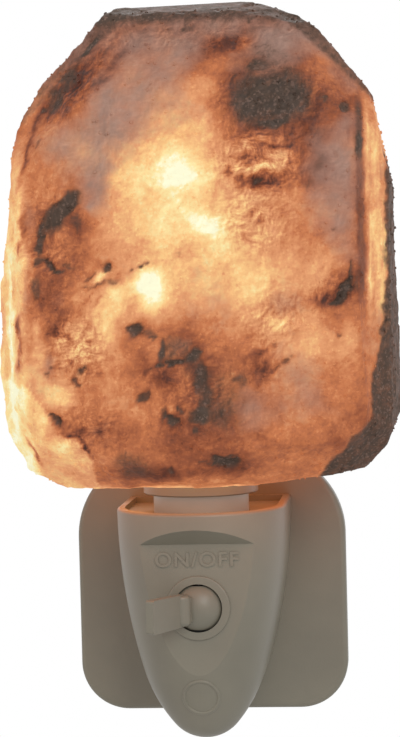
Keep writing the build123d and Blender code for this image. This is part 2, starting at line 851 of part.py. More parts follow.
def parts():
    """Every node of the night light by name."""
    (neutral_x, neutral_width), (live_x, live_width) = blade_places()
    return {
        "salt_crystal": salt_crystal(),
        "crystal_collar": crystal_collar(),
        "front_housing": front_housing(),
        "wall_plate": wall_plate(),
        "lamp_holder_sleeve": lamp_holder_sleeve(),
        "socket_insulator": socket_insulator(),
        "socket_screw_shell": socket_screw_shell(),
        "socket_centre_contact": socket_centre_contact(),
        "socket_rivets": socket_rivets(),
        "bulb_glass": bulb_glass(),
        "bulb_stem": bulb_stem(),
        "bulb_filament": bulb_filament(),
        "bulb_cap": bulb_cap(),
        "bulb_cap_insulator": bulb_cap_insulator(),
        "bulb_tip_contact": bulb_tip_contact(),
        "switch_bezel": switch_bezel(),
        "switch_lever": switch_lever(),
        "switch_wiper": switch_wiper(),
        "switch_pivot_pin": switch_pivot_pin(),
        "switch_body": switch_body(),
        "switch_contact": switch_contact(),
        "switch_common": switch_common(),
        "live_blade": blade(live_x, live_width),
        "neutral_blade": blade(neutral_x, neutral_width),
        "blade_clamp": blade_clamp(),
        "cover_screws": cover_screws(),
        "lead_live": lead_live(),
        "lead_switched": lead_switched(),
        "lead_neutral": lead_neutral(),
    }


os.makedirs("parts", exist_ok=True)
for name, shape in parts().items():
    export_step(shape, f"parts/{name}.step")
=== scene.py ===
import math

import bmesh
import bpy
import numpy as np
from bpy.props import FloatProperty, FloatVectorProperty, IntProperty, PointerProperty
from mathutils import Matrix, Vector, noise


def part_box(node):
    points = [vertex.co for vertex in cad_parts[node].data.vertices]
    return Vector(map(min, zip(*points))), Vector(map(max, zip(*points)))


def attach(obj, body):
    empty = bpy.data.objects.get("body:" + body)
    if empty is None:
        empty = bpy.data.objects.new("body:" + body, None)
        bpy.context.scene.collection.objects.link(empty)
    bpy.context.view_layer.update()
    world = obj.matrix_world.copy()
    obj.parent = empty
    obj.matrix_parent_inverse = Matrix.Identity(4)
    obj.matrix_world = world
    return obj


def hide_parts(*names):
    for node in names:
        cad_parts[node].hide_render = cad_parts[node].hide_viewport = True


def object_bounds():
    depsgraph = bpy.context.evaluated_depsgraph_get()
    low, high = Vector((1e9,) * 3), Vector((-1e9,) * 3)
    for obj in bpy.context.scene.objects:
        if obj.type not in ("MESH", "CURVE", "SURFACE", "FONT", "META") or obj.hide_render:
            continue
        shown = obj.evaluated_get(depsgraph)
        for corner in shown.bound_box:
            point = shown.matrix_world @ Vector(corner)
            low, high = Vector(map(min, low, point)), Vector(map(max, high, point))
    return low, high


bl_info = {
    "name": "Rock-salt night light",
    "version": (1, 0, 0),
    "blender": (4, 5, 0),
    "location": "View3D > Sidebar > Night light",
    "description": "Dresses the plug-in night light: rock-salt shade, moulded plastic, bulb, metal and stage",
    "category": "Object",
}

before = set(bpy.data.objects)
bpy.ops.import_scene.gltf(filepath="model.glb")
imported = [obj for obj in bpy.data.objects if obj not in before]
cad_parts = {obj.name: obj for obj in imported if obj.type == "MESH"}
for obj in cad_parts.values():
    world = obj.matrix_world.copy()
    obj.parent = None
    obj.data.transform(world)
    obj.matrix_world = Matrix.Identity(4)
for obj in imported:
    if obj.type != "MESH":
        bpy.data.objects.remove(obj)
CAD_LOW, CAD_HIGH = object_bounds()

MM = 0.001
UP = Vector((0, 0, 1))


def tone(red, green, blue):
    """Display colour, 0 to 255, as the linear colour that a shader takes."""
    def linear(value):
        share = value / 255
        return share / 12.92 if share <= 0.04045 else ((share + 0.055) / 1.055) ** 2.4

    return (linear(red), linear(green), linear(blue))


def opaque(colour):
    """Linear colour with full alpha."""
    return (*colour, 1.0)


# ---- Places read from the frame ------------------------------------------------
def middle(node):
    """Centre of a CAD node's box."""
    low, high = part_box(node)
    return (low + high) / 2


def half_size(node):
    """Half extents of a CAD node's box."""
    low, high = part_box(node)
    return (high - low) / 2


AXIS = middle("crystal_collar")
COLLAR_RADIUS = half_size("crystal_collar").x
ROCK_LOW, ROCK_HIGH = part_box("salt_crystal")
PANEL_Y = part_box("switch_bezel")[0].y + 0.5 * MM


# ---- Fixed values --------------------------------------------------------------
# Values that the rock's mesh carries from the carving to its material.
# The stain_and_shade values hold clay and ash in the salt, and painted shade as well: the unlit right side, the
# step's dark line, the darker crown and dark rims along the silhouettes.
PAINTED = ("glow", "dust", "stain_and_shade", "rough", "under")
# How far the crown's right corner is worn down.
CROWN_CORNER_DROP = 1.3 * MM
# Bulb light inside the lamp holder's neck: colour, strength, and its span over the sleeve's foot.
SLEEVE_GLOW = tone(196, 170, 154)
SLEEVE_GLOW_STRENGTH = 0.30
SLEEVE_GLOW_SPAN = (-4 * MM, 9 * MM)
# Raised letters, before they are scaled to their size: relief, stroke weight and spacing.
LETTER_EXTRUDE, LETTER_WEIGHT, LETTER_SPACING = 0.1, 0.018, 1.12
# Steps of the filament's arch and points of its wound wire.
ARCH_STEPS, COIL_POINTS = 24, 1100
# Floor: half its side, and the distances from its middle over which it turns plain white, in metres.
FLOOR_REACH = 3.0
FLOOR_FADE = (0.45, 0.9)
# Soft lamps: place, side of the square in metres, power in watts and colour.
LAMPS = {
    "key_light": ((0.62, -1.25, 0.80), 0.9, 9.6, (0.96, 1.0, 0.99)),
    "fill_light": ((-0.95, -0.9, 0.35), 1.0, 2.0, (1.0, 0.82, 0.66)),
    "back_light": ((-0.3, 1.3, 0.8), 1.0, 6.0, (1.0, 1.0, 1.0)),
}
# Warm lamp under the rock: diameter, power in watts, colour and gap to the rock.
SPILL_SIZE, SPILL_POWER, SPILL_COLOUR, SPILL_GAP = 72 * MM, 0.0135, (1.0, 0.24, 0.06), 0.3 * MM


# ---- Settings ------------------------------------------------------------------
class SaltSettings(bpy.types.PropertyGroup):
    """Sizes and colours of the rock-salt shade."""
    mesh_size: FloatProperty(
        name="Mesh size", description="Length of one face of the carved mesh",
        default=0.70 * MM, min=0.5 * MM, subtype="DISTANCE", unit="LENGTH")
    relief: FloatProperty(
        name="Relief", description="Height of the broad unevenness",
        default=0.35 * MM, subtype="DISTANCE", unit="LENGTH")
    chip_size: FloatProperty(
        name="Chip size", description="Width of one cleaved chip",
        default=6.5 * MM, subtype="DISTANCE", unit="LENGTH")
    chip_depth: FloatProperty(
        name="Chip depth", description="Step between neighbouring chips",
        default=0.45 * MM, subtype="DISTANCE", unit="LENGTH")
    roughness: FloatProperty(
        name="Fine roughness", description="Height of the fine rough grain",
        default=0.28 * MM, subtype="DISTANCE", unit="LENGTH")
    lamp_low: FloatProperty(
        name="Lamp foot", description="Height where the inner light begins",
        default=58 * MM, subtype="DISTANCE", unit="LENGTH")
    lamp_high: FloatProperty(
        name="Lamp head", description="Height where the inner light ends",
        default=92 * MM, subtype="DISTANCE", unit="LENGTH")
    reach: FloatProperty(
        name="Light reach", description="Thickness of salt over which the glow fades",
        default=30 * MM, subtype="DISTANCE", unit="LENGTH")
    dust_colour: FloatVectorProperty(
        name="Dust colour", description="Grey mauve film on the outer face",
        default=tone(170, 137, 124), size=3, subtype="COLOR")
    # The next two colours go on the inclusions and also on the painted shade that the stain_and_shade values
    # carry.
    bruise_and_shade_colour: FloatVectorProperty(
        name="Bruise colour", description="Brown clay in a thin layer under the face",
        default=tone(108, 70, 52), size=3, subtype="COLOR")
    stain_and_shade_colour: FloatVectorProperty(
        name="Inclusion colour", description="Clay and ash caught in the salt",
        default=tone(86, 69, 58), size=3, subtype="COLOR")
    grain_count: FloatProperty(
        name="Grain density", description="Grown grains on a square metre of rock",
        default=90000.0)
    grain_size: FloatProperty(
        name="Grain size", description="Half width of the largest grain",
        default=0.30 * MM, subtype="DISTANCE", unit="LENGTH")
    seed: IntProperty(name="Seed", description="Start of the scattered grains", default=7)


class PlasticSettings(bpy.types.PropertyGroup):
    """Colours of the moulded parts."""
    housing_colour: FloatVectorProperty(
        name="Moulding", description="Warm grey white of the moulded parts",
        default=tone(127, 121, 107), size=3, subtype="COLOR")
    words_size: FloatVectorProperty(
        name="Words", description="Width, relief and height of the raised ON/OFF letters",
        default=(19.0 * MM, 0.34 * MM, 3.4 * MM), size=3, subtype="TRANSLATION", unit="LENGTH")
    words_height: FloatProperty(
        name="Height of the words", description="Height of the middle of the letters",
        default=9.4 * MM, subtype="DISTANCE", unit="LENGTH")
    ring_radius: FloatProperty(
        name="Ring radius", description="Radius of the plain raised ring on the nose",
        default=4.0 * MM, subtype="DISTANCE", unit="LENGTH")
    ring_width: FloatProperty(
        name="Ring width", description="Width of the ring's round bead",
        default=0.9 * MM, subtype="DISTANCE", unit="LENGTH")
    ring_relief: FloatProperty(
        name="Ring relief", description="How far the ring stands out of the nose",
        default=0.28 * MM, subtype="DISTANCE", unit="LENGTH")
    ring_height: FloatProperty(
        name="Height of the ring", description="Height of the middle of the ring",
        default=-22.5 * MM, subtype="DISTANCE", unit="LENGTH")


class MetalSettings(bpy.types.PropertyGroup):
    """Sizes of the turned and wound metal parts."""
    cap_pitch: FloatProperty(
        name="Cap pitch", description="Rise of the bulb cap's thread in one turn",
        default=2.54 * MM, subtype="DISTANCE", unit="LENGTH")
    cap_thread: FloatProperty(
        name="Cap thread", description="Depth of the bulb cap's rolled thread",
        default=0.42 * MM, subtype="DISTANCE", unit="LENGTH")
    cap_wall: FloatProperty(
        name="Cap wall", description="Thickness of the bulb cap",
        default=0.35 * MM, subtype="DISTANCE", unit="LENGTH")
    screw_pitch: FloatProperty(
        name="Screw pitch", description="Rise of the cover screws' thread in one turn",
        default=1.1 * MM, subtype="DISTANCE", unit="LENGTH")
    screw_head: FloatProperty(
        name="Screw head", description="Radius of the cover screws' heads",
        default=2.7 * MM, subtype="DISTANCE", unit="LENGTH")
    screw_shank: FloatProperty(
        name="Screw shank", description="Radius over the cover screws' thread",
        default=1.25 * MM, subtype="DISTANCE", unit="LENGTH")
    coil_pitch: FloatProperty(
        name="Coil pitch", description="Rise of the filament in one turn",
        default=0.62 * MM, subtype="DISTANCE", unit="LENGTH")
    coil_radius: FloatProperty(
        name="Coil radius", description="Radius of the filament's coil",
        default=0.34 * MM, subtype="DISTANCE", unit="LENGTH")
    coil_wire: FloatProperty(
        name="Filament wire", description="Radius of the filament's wire",
        default=0.12 * MM, subtype="DISTANCE", unit="LENGTH")


class StageSettings(bpy.types.PropertyGroup):
    """Camera, light and floor."""
    eye: FloatVectorProperty(
        name="Camera place", description="Where the camera stands",
        default=(54.2 * MM, -601.1 * MM, 80.5 * MM), size=3, subtype="TRANSLATION", unit="LENGTH")
    target: FloatVectorProperty(
        name="Camera target", description="Point at the middle of the picture",
        default=(-0.17 * MM, -20.0 * MM, 51.5 * MM), size=3, subtype="TRANSLATION", unit="LENGTH")
    roll: FloatProperty(
        name="Camera roll", description="Lean of the camera about its own line of sight",
        default=math.radians(1.46), subtype="ANGLE", unit="ROTATION")
    lens: FloatProperty(
        name="Focal length", description="Focal length in millimetres on a 36 mm sensor",
        default=122.2)
    floor_drop: FloatProperty(
        name="Floor drop", description="How far the floor lies under the light",
        default=0.30, subtype="DISTANCE", unit="LENGTH")
    ambient: FloatProperty(name="Ambient", description="Strength of the even room light", default=0.43)


# ---- Shader helpers ------------------------------------------------------------
class Graph:
    """Thin wrapper that adds and joins nodes of one shader tree."""

    def __init__(self, tree):
        self.tree = tree

    def add(self, kind, settings=None, **inputs):
        """New node with its options and its input values or links, by socket name."""
        node = self.tree.nodes.new(kind)
        for name, value in (settings or {}).items():
            setattr(node, name, value)
        for name, value in inputs.items():
            self.feed(node.inputs[name.replace("_", " ")], value)
        return node

    def feed(self, socket, value):
        """Value or link into a socket."""
        if isinstance(value, bpy.types.NodeSocket):
            self.tree.links.new(value, socket)
        else:
            socket.default_value = value

    def maths(self, operation, first, second=0.0, clamp=False):
        """Result of a two-value Math node."""
        node = self.tree.nodes.new("ShaderNodeMath")
        node.operation = operation
        node.use_clamp = clamp
        self.feed(node.inputs[0], first)
        self.feed(node.inputs[1], second)
        return node.outputs[0]

    def vectors(self, operation, first, second=None, scale=None):
        """First output of a Vector Math node."""
        node = self.add("ShaderNodeVectorMath", {"operation": operation})
        self.feed(node.inputs[0], first)
        if second is not None:
            self.feed(node.inputs[1], second)
        if scale is not None:
            self.feed(node.inputs["Scale"], scale)
        return node.outputs[0]

    def mix(self, factor, first, second, blend="MIX"):
        """Result of a colour Mix node."""
        node = self.tree.nodes.new("ShaderNodeMix")
        node.data_type = "RGBA"
        node.blend_type = blend
        self.feed(node.inputs["Factor"], factor)
        self.feed(node.inputs[6], first)
        self.feed(node.inputs[7], second)
        return node.outputs[2]

    def ramp(self, factor, stops):
        """Colour ramp from a list of (place, linear colour)."""
        node = self.tree.nodes.new("ShaderNodeValToRGB")
        elements = node.color_ramp.elements
        while len(elements) < len(stops):
            elements.new(1.0)
        for element, (place, colour) in zip(elements, stops):
            element.position = place
            element.color = opaque(colour)
        self.feed(node.inputs["Fac"], factor)
        return node.outputs["Color"]

    def remap(self, value, low, high, new_low=0.0, new_high=1.0):
        """Value mapped and clamped from one range to another."""
        node = self.tree.nodes.new("ShaderNodeMapRange")
        self.feed(node.inputs["Value"], value)
        for name, number in (("From Min", low), ("From Max", high), ("To Min", new_low), ("To Max", new_high)):
            node.inputs[name].default_value = number
        return node.outputs["Result"]

    def noise(self, vector, scale, detail=3.0, roughness=0.5, distortion=0.0):
        """Noise value in the given coordinates."""
        node = self.add("ShaderNodeTexNoise", Scale=scale, Detail=detail,
                        Roughness=roughness, Distortion=distortion)
        self.feed(node.inputs["Vector"], vector)
        return node.outputs["Fac"]


def new_group(name, inputs, outputs):
    """Empty shader group with named sockets, and its graph and end nodes."""
    tree = bpy.data.node_groups.new(name, "ShaderNodeTree")
    for socket, kind, default in inputs:
        made = tree.interface.new_socket(socket, in_out="INPUT", socket_type=kind)
        if default is not None:
            made.default_value = default
    for socket, kind in outputs:
        tree.interface.new_socket(socket, in_out="OUTPUT", socket_type=kind)
    graph = Graph(tree)
    return graph, graph.add("NodeGroupInput"), graph.add("NodeGroupOutput")


def moulded_grain_group():
    """Fine moulded skin: a faint mottle and the height of its spark-eroded grain."""
    graph, source, result = new_group(
        "moulded_grain",
        [("Vector", "NodeSocketVector", None), ("Grain", "NodeSocketFloat", 2500.0),
         ("Mottle", "NodeSocketFloat", 60.0)],
        [("Mottle", "NodeSocketFloat"), ("Height", "NodeSocketFloat")])
    place = source.outputs["Vector"]
    fine = graph.noise(place, source.outputs["Grain"], detail=2.0)
    broad = graph.noise(place, source.outputs["Mottle"], detail=4.0)
    graph.feed(result.inputs["Mottle"], broad)
    graph.feed(result.inputs["Height"], fine)
    return graph.tree


def handling_group():
    """Rubbed and tarnished metal: a tarnish mask, a roughness and a height."""
    graph, source, result = new_group(
        "handling_wear",
        [("Vector", "NodeSocketVector", None), ("Tarnish", "NodeSocketFloat", 0.4),
         ("Roughness", "NodeSocketFloat", 0.3)],
        [("Tarnish", "NodeSocketFloat"), ("Roughness", "NodeSocketFloat"), ("Height", "NodeSocketFloat")])
    place = source.outputs["Vector"]
    cloud = graph.noise(place, 260.0, detail=5.0)
    streaks = graph.add("ShaderNodeMapping", Scale=(40.0, 900.0, 900.0))
    graph.feed(streaks.inputs["Vector"], place)
    scratch = graph.noise(streaks.outputs["Vector"], 2.0, detail=3.0)
    mask = graph.maths("MULTIPLY", graph.remap(cloud, 0.42, 0.7), source.outputs["Tarnish"])
    spread = graph.remap(scratch, 0.3, 0.7, -0.08, 0.12)
    graph.feed(result.inputs["Tarnish"], mask)
    graph.feed(result.inputs["Roughness"], graph.maths("ADD", source.outputs["Roughness"], spread))
    graph.feed(result.inputs["Height"], scratch)
    return graph.tree


def new_material(name, **constants):
    """Material with a Principled shader, its graph and its object coordinates."""
    material = bpy.data.materials.new(name)
    material.use_nodes = True
    graph = Graph(material.node_tree)
    shader = material.node_tree.nodes["Principled BSDF"]
    for socket, value in constants.items():
        shader.inputs[socket.replace("_", " ")].default_value = value
    place = graph.add("ShaderNodeTexCoord").outputs["Object"]
    return material, graph, shader, place


def grouped(graph, name, place, **inputs):
    """One of the shared groups placed in a material."""
    node = graph.add("ShaderNodeGroup", {"node_tree": bpy.data.node_groups[name]})
    graph.feed(node.inputs["Vector"], place)
    for socket, value in inputs.items():
        graph.feed(node.inputs[socket], value)
    return node


def bumped(graph, shader, height, distance, strength=1.0):
    """Bump from a height into the shader's normal."""
    bump = graph.add("ShaderNodeBump", Strength=strength, Distance=distance)
    graph.feed(bump.inputs["Height"], height)
    graph.feed(shader.inputs["Normal"], bump.outputs["Normal"])


def plastic(name, colour, roughness=0.42, grain=2500.0, height=0.02 * MM, variation=0.06):
    """Moulded plastic with a faint mottle and a fine matt skin."""
    material, graph, shader, place = new_material(name, IOR=1.49)
    skin = grouped(graph, "moulded_grain", place, Grain=grain)
    low = tuple(channel * (1 - variation) for channel in colour)
    high = tuple(min(1.0, channel * (1 + variation)) for channel in colour)
    tint = graph.ramp(skin.outputs["Mottle"], [(0.35, low), (0.65, high)])
    graph.feed(shader.inputs["Base Color"], tint)
    graph.feed(shader.inputs["Roughness"],
               graph.remap(skin.outputs["Mottle"], 0.3, 0.7, roughness - 0.05, roughness + 0.07))
    bumped(graph, shader, skin.outputs["Height"], height)
    return material


def lit_plastic(name, colour, glow_colour, low, high, strength):
    """Moulded plastic that the bulb behind it lights up, more so towards its top."""
    material = plastic(name, colour)
    shader = material.node_tree.nodes["Principled BSDF"]
    graph = Graph(material.node_tree)
    place = graph.add("ShaderNodeTexCoord").outputs["Object"]
    height = graph.add("ShaderNodeSeparateXYZ", Vector=place).outputs["Z"]
    share = graph.remap(height, low, high)
    graph.feed(shader.inputs["Emission Color"], graph.mix(share, opaque((0.0, 0.0, 0.0)), opaque(glow_colour)))
    shader.inputs["Emission Strength"].default_value = strength
    return material


def metal(name, colour, tarnish_colour, roughness=0.28, tarnish=0.5):
    """Bare or plated metal with handling marks."""
    material, graph, shader, place = new_material(name, Metallic=1.0)
    wear = grouped(graph, "handling_wear", place, Tarnish=tarnish, Roughness=roughness)
    graph.feed(shader.inputs["Base Color"],
               graph.mix(wear.outputs["Tarnish"], opaque(colour), opaque(tarnish_colour)))
    graph.feed(shader.inputs["Roughness"], wear.outputs["Roughness"])
    bumped(graph, shader, wear.outputs["Height"], 0.01 * MM)
    return material


def clear_glass(name, tint):
    """Thin clear glass with faint smears."""
    material, graph, shader, place = new_material(
        name, Transmission_Weight=1.0, IOR=1.45, Base_Color=opaque(tint))
    smear = graph.noise(place, 120.0, detail=4.0)
    graph.feed(shader.inputs["Roughness"], graph.remap(smear, 0.4, 0.75, 0.01, 0.09))
    return material


def glowing_wire(name):
    """Tungsten coil at working heat."""
    material, graph, shader, place = new_material(name, Metallic=1.0, Roughness=0.4, Emission_Strength=6.0)
    heat = graph.noise(place, 900.0)
    colour = graph.ramp(heat, [(0.3, tone(255, 190, 110)), (0.7, tone(255, 232, 190))])
    graph.feed(shader.inputs["Emission Color"], colour)
    graph.feed(shader.inputs["Base Color"], graph.mix(0.5, colour, opaque(tone(120, 116, 110))))
    return material


def salt_relief_group():
    """Height of the rough salt face: creased ridges, clustered grains and a fine tooth."""
    graph, source, result = new_group(
        "salt_relief",
        [("Vector", "NodeSocketVector", None), ("Coarse", "NodeSocketFloat", 150.0),
         ("Fine", "NodeSocketFloat", 780.0)],
        [("Height", "NodeSocketFloat")])
    place = source.outputs["Vector"]
    swirl = graph.add("ShaderNodeTexNoise", Scale=110.0, Detail=3.0)
    graph.feed(swirl.inputs["Vector"], place)
    centred = graph.vectors("SUBTRACT", swirl.outputs["Color"], (0.5, 0.5, 0.5))
    warped = graph.vectors("ADD", place, graph.vectors("SCALE", centred, scale=7 * MM))
    ridges = graph.add("ShaderNodeTexNoise", {"noise_type": "RIDGED_MULTIFRACTAL"}, Detail=6.0, Roughness=0.55)
    graph.feed(ridges.inputs["Vector"], warped)
    graph.feed(ridges.inputs["Scale"], source.outputs["Coarse"])
    fine = graph.noise(warped, source.outputs["Fine"], detail=4.0, roughness=0.6)
    cells = graph.add("ShaderNodeTexVoronoi", Scale=430.0)
    graph.feed(cells.inputs["Vector"], warped)
    lumps = graph.remap(cells.outputs["Distance"], 0.0, 0.9, 1.0, 0.0)
    height = graph.maths("MULTIPLY", graph.remap(ridges.outputs["Fac"], 0.0, 1.6), 0.35)
    height = graph.maths("ADD", height, graph.maths("MULTIPLY", fine, 0.45))
    height = graph.maths("ADD", height, graph.maths("MULTIPLY", lumps, 0.20))
    graph.feed(result.inputs["Height"], height)
    return graph.tree


def shifted(graph, place, step):
    """Coordinates moved by a step."""
    return graph.vectors("ADD", place, step)


def salt_material(settings):
    """Lit rock salt: glow through the stone, mauve dust film and dark inclusions.

    The glow, dust and stain_and_shade values come as attributes of the carved mesh, and noise breaks them up;
    the stain_and_shade values also carry painted shade.
    """
    material, graph, shader, place = new_material(
        "rock_salt", IOR=1.54, Emission_Strength=1.0, Specular_IOR_Level=0.3)
    glow, dust, stain_and_shade, rough, under = (
        graph.add("ShaderNodeAttribute", {"attribute_name": name}).outputs["Fac"] for name in PAINTED)

    cloud = graph.noise(place, 80.0, detail=5.0, roughness=0.6, distortion=0.5)
    speck = graph.noise(place, 620.0, detail=4.0, roughness=0.65)
    height = grouped(graph, "salt_relief", place).outputs["Height"]
    # Painted light and shade of the relief: the height against a copy moved one way, an emboss that lights one
    # side of each bump and darkens the other.
    step = 0.35 * MM
    uphill = grouped(graph, "salt_relief", shifted(graph, place, (step, 0.0, -step))).outputs["Height"]
    painted_relief_shade = graph.maths("SUBTRACT", height, uphill)
    crystals = graph.add("ShaderNodeTexVoronoi", Scale=2100.0)
    graph.feed(crystals.inputs["Vector"], place)
    lucky = graph.add("ShaderNodeSeparateColor")
    graph.feed(lucky.inputs["Color"], crystals.outputs["Color"])
    # Painted glints: a few random crystal cells brightened in the glow.
    painted_glint = graph.remap(lucky.outputs["Red"], 0.86, 1.0)
    mote = graph.remap(lucky.outputs["Green"], 0.93, 1.0)

    film = graph.maths("ADD", dust, graph.remap(speck, 0.25, 0.75, -0.16, 0.16))
    film = graph.maths("ADD", film, graph.remap(cloud, 0.25, 0.75, -0.30, 0.30))
    film = graph.remap(film, 0.12, 1.20)
    bare = graph.remap(film, 0.0, 1.0, 1.0, 0.45)

    # The height and its emboss brighten ridges and dim hollows in the glow: painted relief light and shade,
    # beside random unevenness.
    broken = graph.maths("ADD", graph.remap(height, 0.15, 0.75, -0.13, 0.15),
                         graph.maths("MULTIPLY", painted_relief_shade, 0.7))
    broken = graph.maths("MULTIPLY", broken, graph.remap(rough, 0.2, 1.6, 0.15, 1.5))
    uneven = graph.maths("ADD", graph.remap(cloud, 0.25, 0.75, -0.10, 0.10), broken)
    uneven = graph.maths("ADD", uneven, graph.remap(speck, 0.25, 0.75, -0.07, 0.07))
    uneven = graph.maths("ADD", uneven, graph.maths("MULTIPLY", painted_glint, 0.05))
    uneven = graph.maths("SUBTRACT", uneven, graph.maths("MULTIPLY", mote, 0.05))
    lit = graph.maths("ADD", glow, graph.maths("MULTIPLY", uneven, bare), clamp=True)
    stone = graph.ramp(lit, [
        (0.00, tone(34, 20, 14)),
        (0.18, tone(92, 44, 27)),
        (0.35, tone(152, 82, 50)),
        (0.50, tone(198, 117, 72)),
        (0.65, tone(230, 158, 108)),
        (0.78, tone(250, 198, 132)),
        (0.90, tone(253, 230, 164)),
        (1.00, tone(255, 252, 216)),
    ])

    # The stain_and_shade values hold inclusions and painted shade, so the brown veil and the dark mix below
    # darken both.
    veil = graph.remap(graph.maths("ADD", stain_and_shade, graph.remap(speck, 0.25, 0.75, -0.14, 0.14)), 0.08, 0.70)
    dark = graph.maths("ADD", stain_and_shade, graph.remap(speck, 0.25, 0.75, -0.22, 0.22))
    # The emboss also darkens one side of the dark marks: painted shade.
    dark = graph.maths("SUBTRACT", dark, graph.maths("MULTIPLY", painted_relief_shade, 1.4))
    dark = graph.remap(dark, 0.32, 1.04)
    ash = graph.remap(lucky.outputs["Blue"], 0.74, 1.0, 0.0, 0.42)

    film_colour = opaque(tuple(settings.dust_colour))
    bruise_and_shade_colour = opaque(tuple(settings.bruise_and_shade_colour))
    dark_colour = opaque(tuple(settings.stain_and_shade_colour))
    black = opaque((0.0, 0.0, 0.0))
    # Painted shade of the relief in the base colour, weaker where the face is smooth.
    shade = graph.remap(graph.maths("ADD", height, graph.maths("MULTIPLY", painted_relief_shade, 1.5)), 0.2, 0.8, 0.55, 1.2)
    # The base colour takes the lit stone's colours, glow included, at 38 per cent: painted light in the base
    # colour.
    body = graph.mix(0.62, stone, black)
    body = graph.mix(film, body, film_colour)
    body = graph.mix(graph.maths("MULTIPLY", veil, 0.75), body, bruise_and_shade_colour)
    body = graph.mix(graph.maths("MULTIPLY", dark, 0.95), body, graph.mix(ash, dark_colour, film_colour))
    shaded = graph.mix(1.0, body, shade, blend="MULTIPLY")
    body = graph.mix(graph.remap(rough, 0.2, 1.3, 0.45, 1.0), body, shaded)
    shine = graph.mix(graph.maths("MULTIPLY", film, 0.85), stone, black)
    shine = graph.mix(graph.maths("MULTIPLY", veil, 0.80), shine, black)
    shine = graph.mix(graph.maths("MULTIPLY", dark, 0.94), shine, black)
    shine = graph.mix(1.0, shine, graph.remap(under, 0.0, 1.0, 0.7, 1.4), blend="MULTIPLY")
    graph.feed(shader.inputs["Base Color"], body)
    graph.feed(shader.inputs["Emission Color"], shine)
    graph.feed(shader.inputs["Roughness"], graph.remap(speck, 0.3, 0.7, 0.52, 0.85))
    tooth = graph.maths("MULTIPLY", height, graph.remap(rough, 0.2, 1.3, 0.25, 1.0))
    bumped(graph, shader, tooth, 0.45 * MM, 0.8)
    return material


# ---- Mesh helpers --------------------------------------------------------------
def linked(obj):
    """Object put into the scene."""
    bpy.context.scene.collection.objects.link(obj)
    return obj


def mesh_piece(name, vertices, faces, smooth=True):
    """New piece from points and faces."""
    mesh = bpy.data.meshes.new(name)
    mesh.from_pydata([tuple(v) for v in vertices], [], faces)
    mesh.update()
    if smooth:
        mesh.shade_smooth()
    return linked(bpy.data.objects.new(name, mesh))


def baked(obj, name):
    """Object's evaluated mesh as a new plain piece, and the old object gone."""
    graph = bpy.context.evaluated_depsgraph_get()
    mesh = bpy.data.meshes.new_from_object(obj.evaluated_get(graph))
    bpy.data.objects.remove(obj)
    mesh.name = name
    return linked(bpy.data.objects.new(name, mesh))


def outward(obj):
    """Doubles merged and normals made to point outwards."""
    shape = bmesh.new()
    shape.from_mesh(obj.data)
    bmesh.ops.remove_doubles(shape, verts=shape.verts, dist=0.001 * MM)
    bmesh.ops.recalc_face_normals(shape, faces=shape.faces)
    shape.to_mesh(obj.data)
    shape.free()
    obj.data.update()
    return obj


def geometry_tree(name, inputs):
    """Empty geometry tree with its named inputs, and its graph and end nodes."""
    tree = bpy.data.node_groups.new(name, "GeometryNodeTree")
    tree.interface.new_socket("Geometry", in_out="INPUT", socket_type="NodeSocketGeometry")
    for socket, kind, default in inputs:
        made = tree.interface.new_socket(socket, in_out="INPUT", socket_type=kind)
        if default is not None:
            made.default_value = default
    tree.interface.new_socket("Geometry", in_out="OUTPUT", socket_type="NodeSocketGeometry")
    graph = Graph(tree)
    return graph, graph.add("NodeGroupInput"), graph.add("NodeGroupOutput")


def closed_tree(graph, source, result, geometry):
    """Tree's end: instances made real and the material set."""
    real = graph.add("GeometryNodeRealizeInstances", Geometry=geometry)
    dressed_shape = graph.add("GeometryNodeSetMaterial", Geometry=real.outputs["Geometry"],
                              Material=source.outputs["Material"])
    graph.feed(result.inputs["Geometry"], dressed_shape.outputs["Geometry"])
    return graph.tree


def grown(obj, tree, name, **values):
    """Object run through a geometry tree with its inputs set, as a plain new piece."""
    modifier = obj.modifiers.new(name, "NODES")
    modifier.node_group = tree
    keys = {item.name: item.identifier for item in tree.interface.items_tree if item.in_out == "INPUT"}
    for title, value in values.items():
        modifier[keys[title]] = value
    return baked(obj, name)


def turned(name, outline, pitch=1.0, depth=0.0, sides=48):
    """Body turned about the vertical from (radius, height, share) points; the share takes a helical thread."""
    rows = []
    for radius, height, share in outline:
        for side in range(sides):
            angle = math.tau * side / sides
            groove = 0.5 - 0.5 * math.cos(math.tau * height / pitch - angle)
            reach = radius - depth * share * groove
            rows.append((reach * math.cos(angle), reach * math.sin(angle), height))
    faces = []
    for row in range(len(outline) - 1):
        for side in range(sides):
            near, far = row * sides + side, row * sides + (side + 1) % sides
            faces.append((near, far, far + sides, near + sides))
    return outward(mesh_piece(name, rows, faces))


def threaded(radius, low, high, step):
    """Outline rows of a threaded length, with the thread run out at both ends."""
    count = max(2, round((high - low) / step))
    rows = []
    for index in range(count + 1):
        share = index / count
        fade = min(1.0, 6 * share, 6 * (1 - share))
        rows.append((radius, low + (high - low) * share, fade))
    return rows


def finished(obj, material, body, slot, *replaced):
    """Piece with its material, its body and the CAD nodes that it stands for; the slot argument is not used."""
    obj.data.materials.clear()
    obj.data.materials.append(material)
    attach(obj, body)
    if replaced:
        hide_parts(*replaced)
    return obj


def dressed(material, *nodes):
    """CAD nodes given a material."""
    for node in nodes:
        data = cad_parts[node].data
        data.materials.clear()
        data.materials.append(material)


# ---- Rock-salt shade -----------------------------------------------------------
def smooth_step(value, low, high):
    """Smooth 0 to 1 ramp between two values, which may fall as well as rise."""
    share = np.clip((value - low) / (high - low), 0, 1)
    return share * share * (3 - 2 * share)


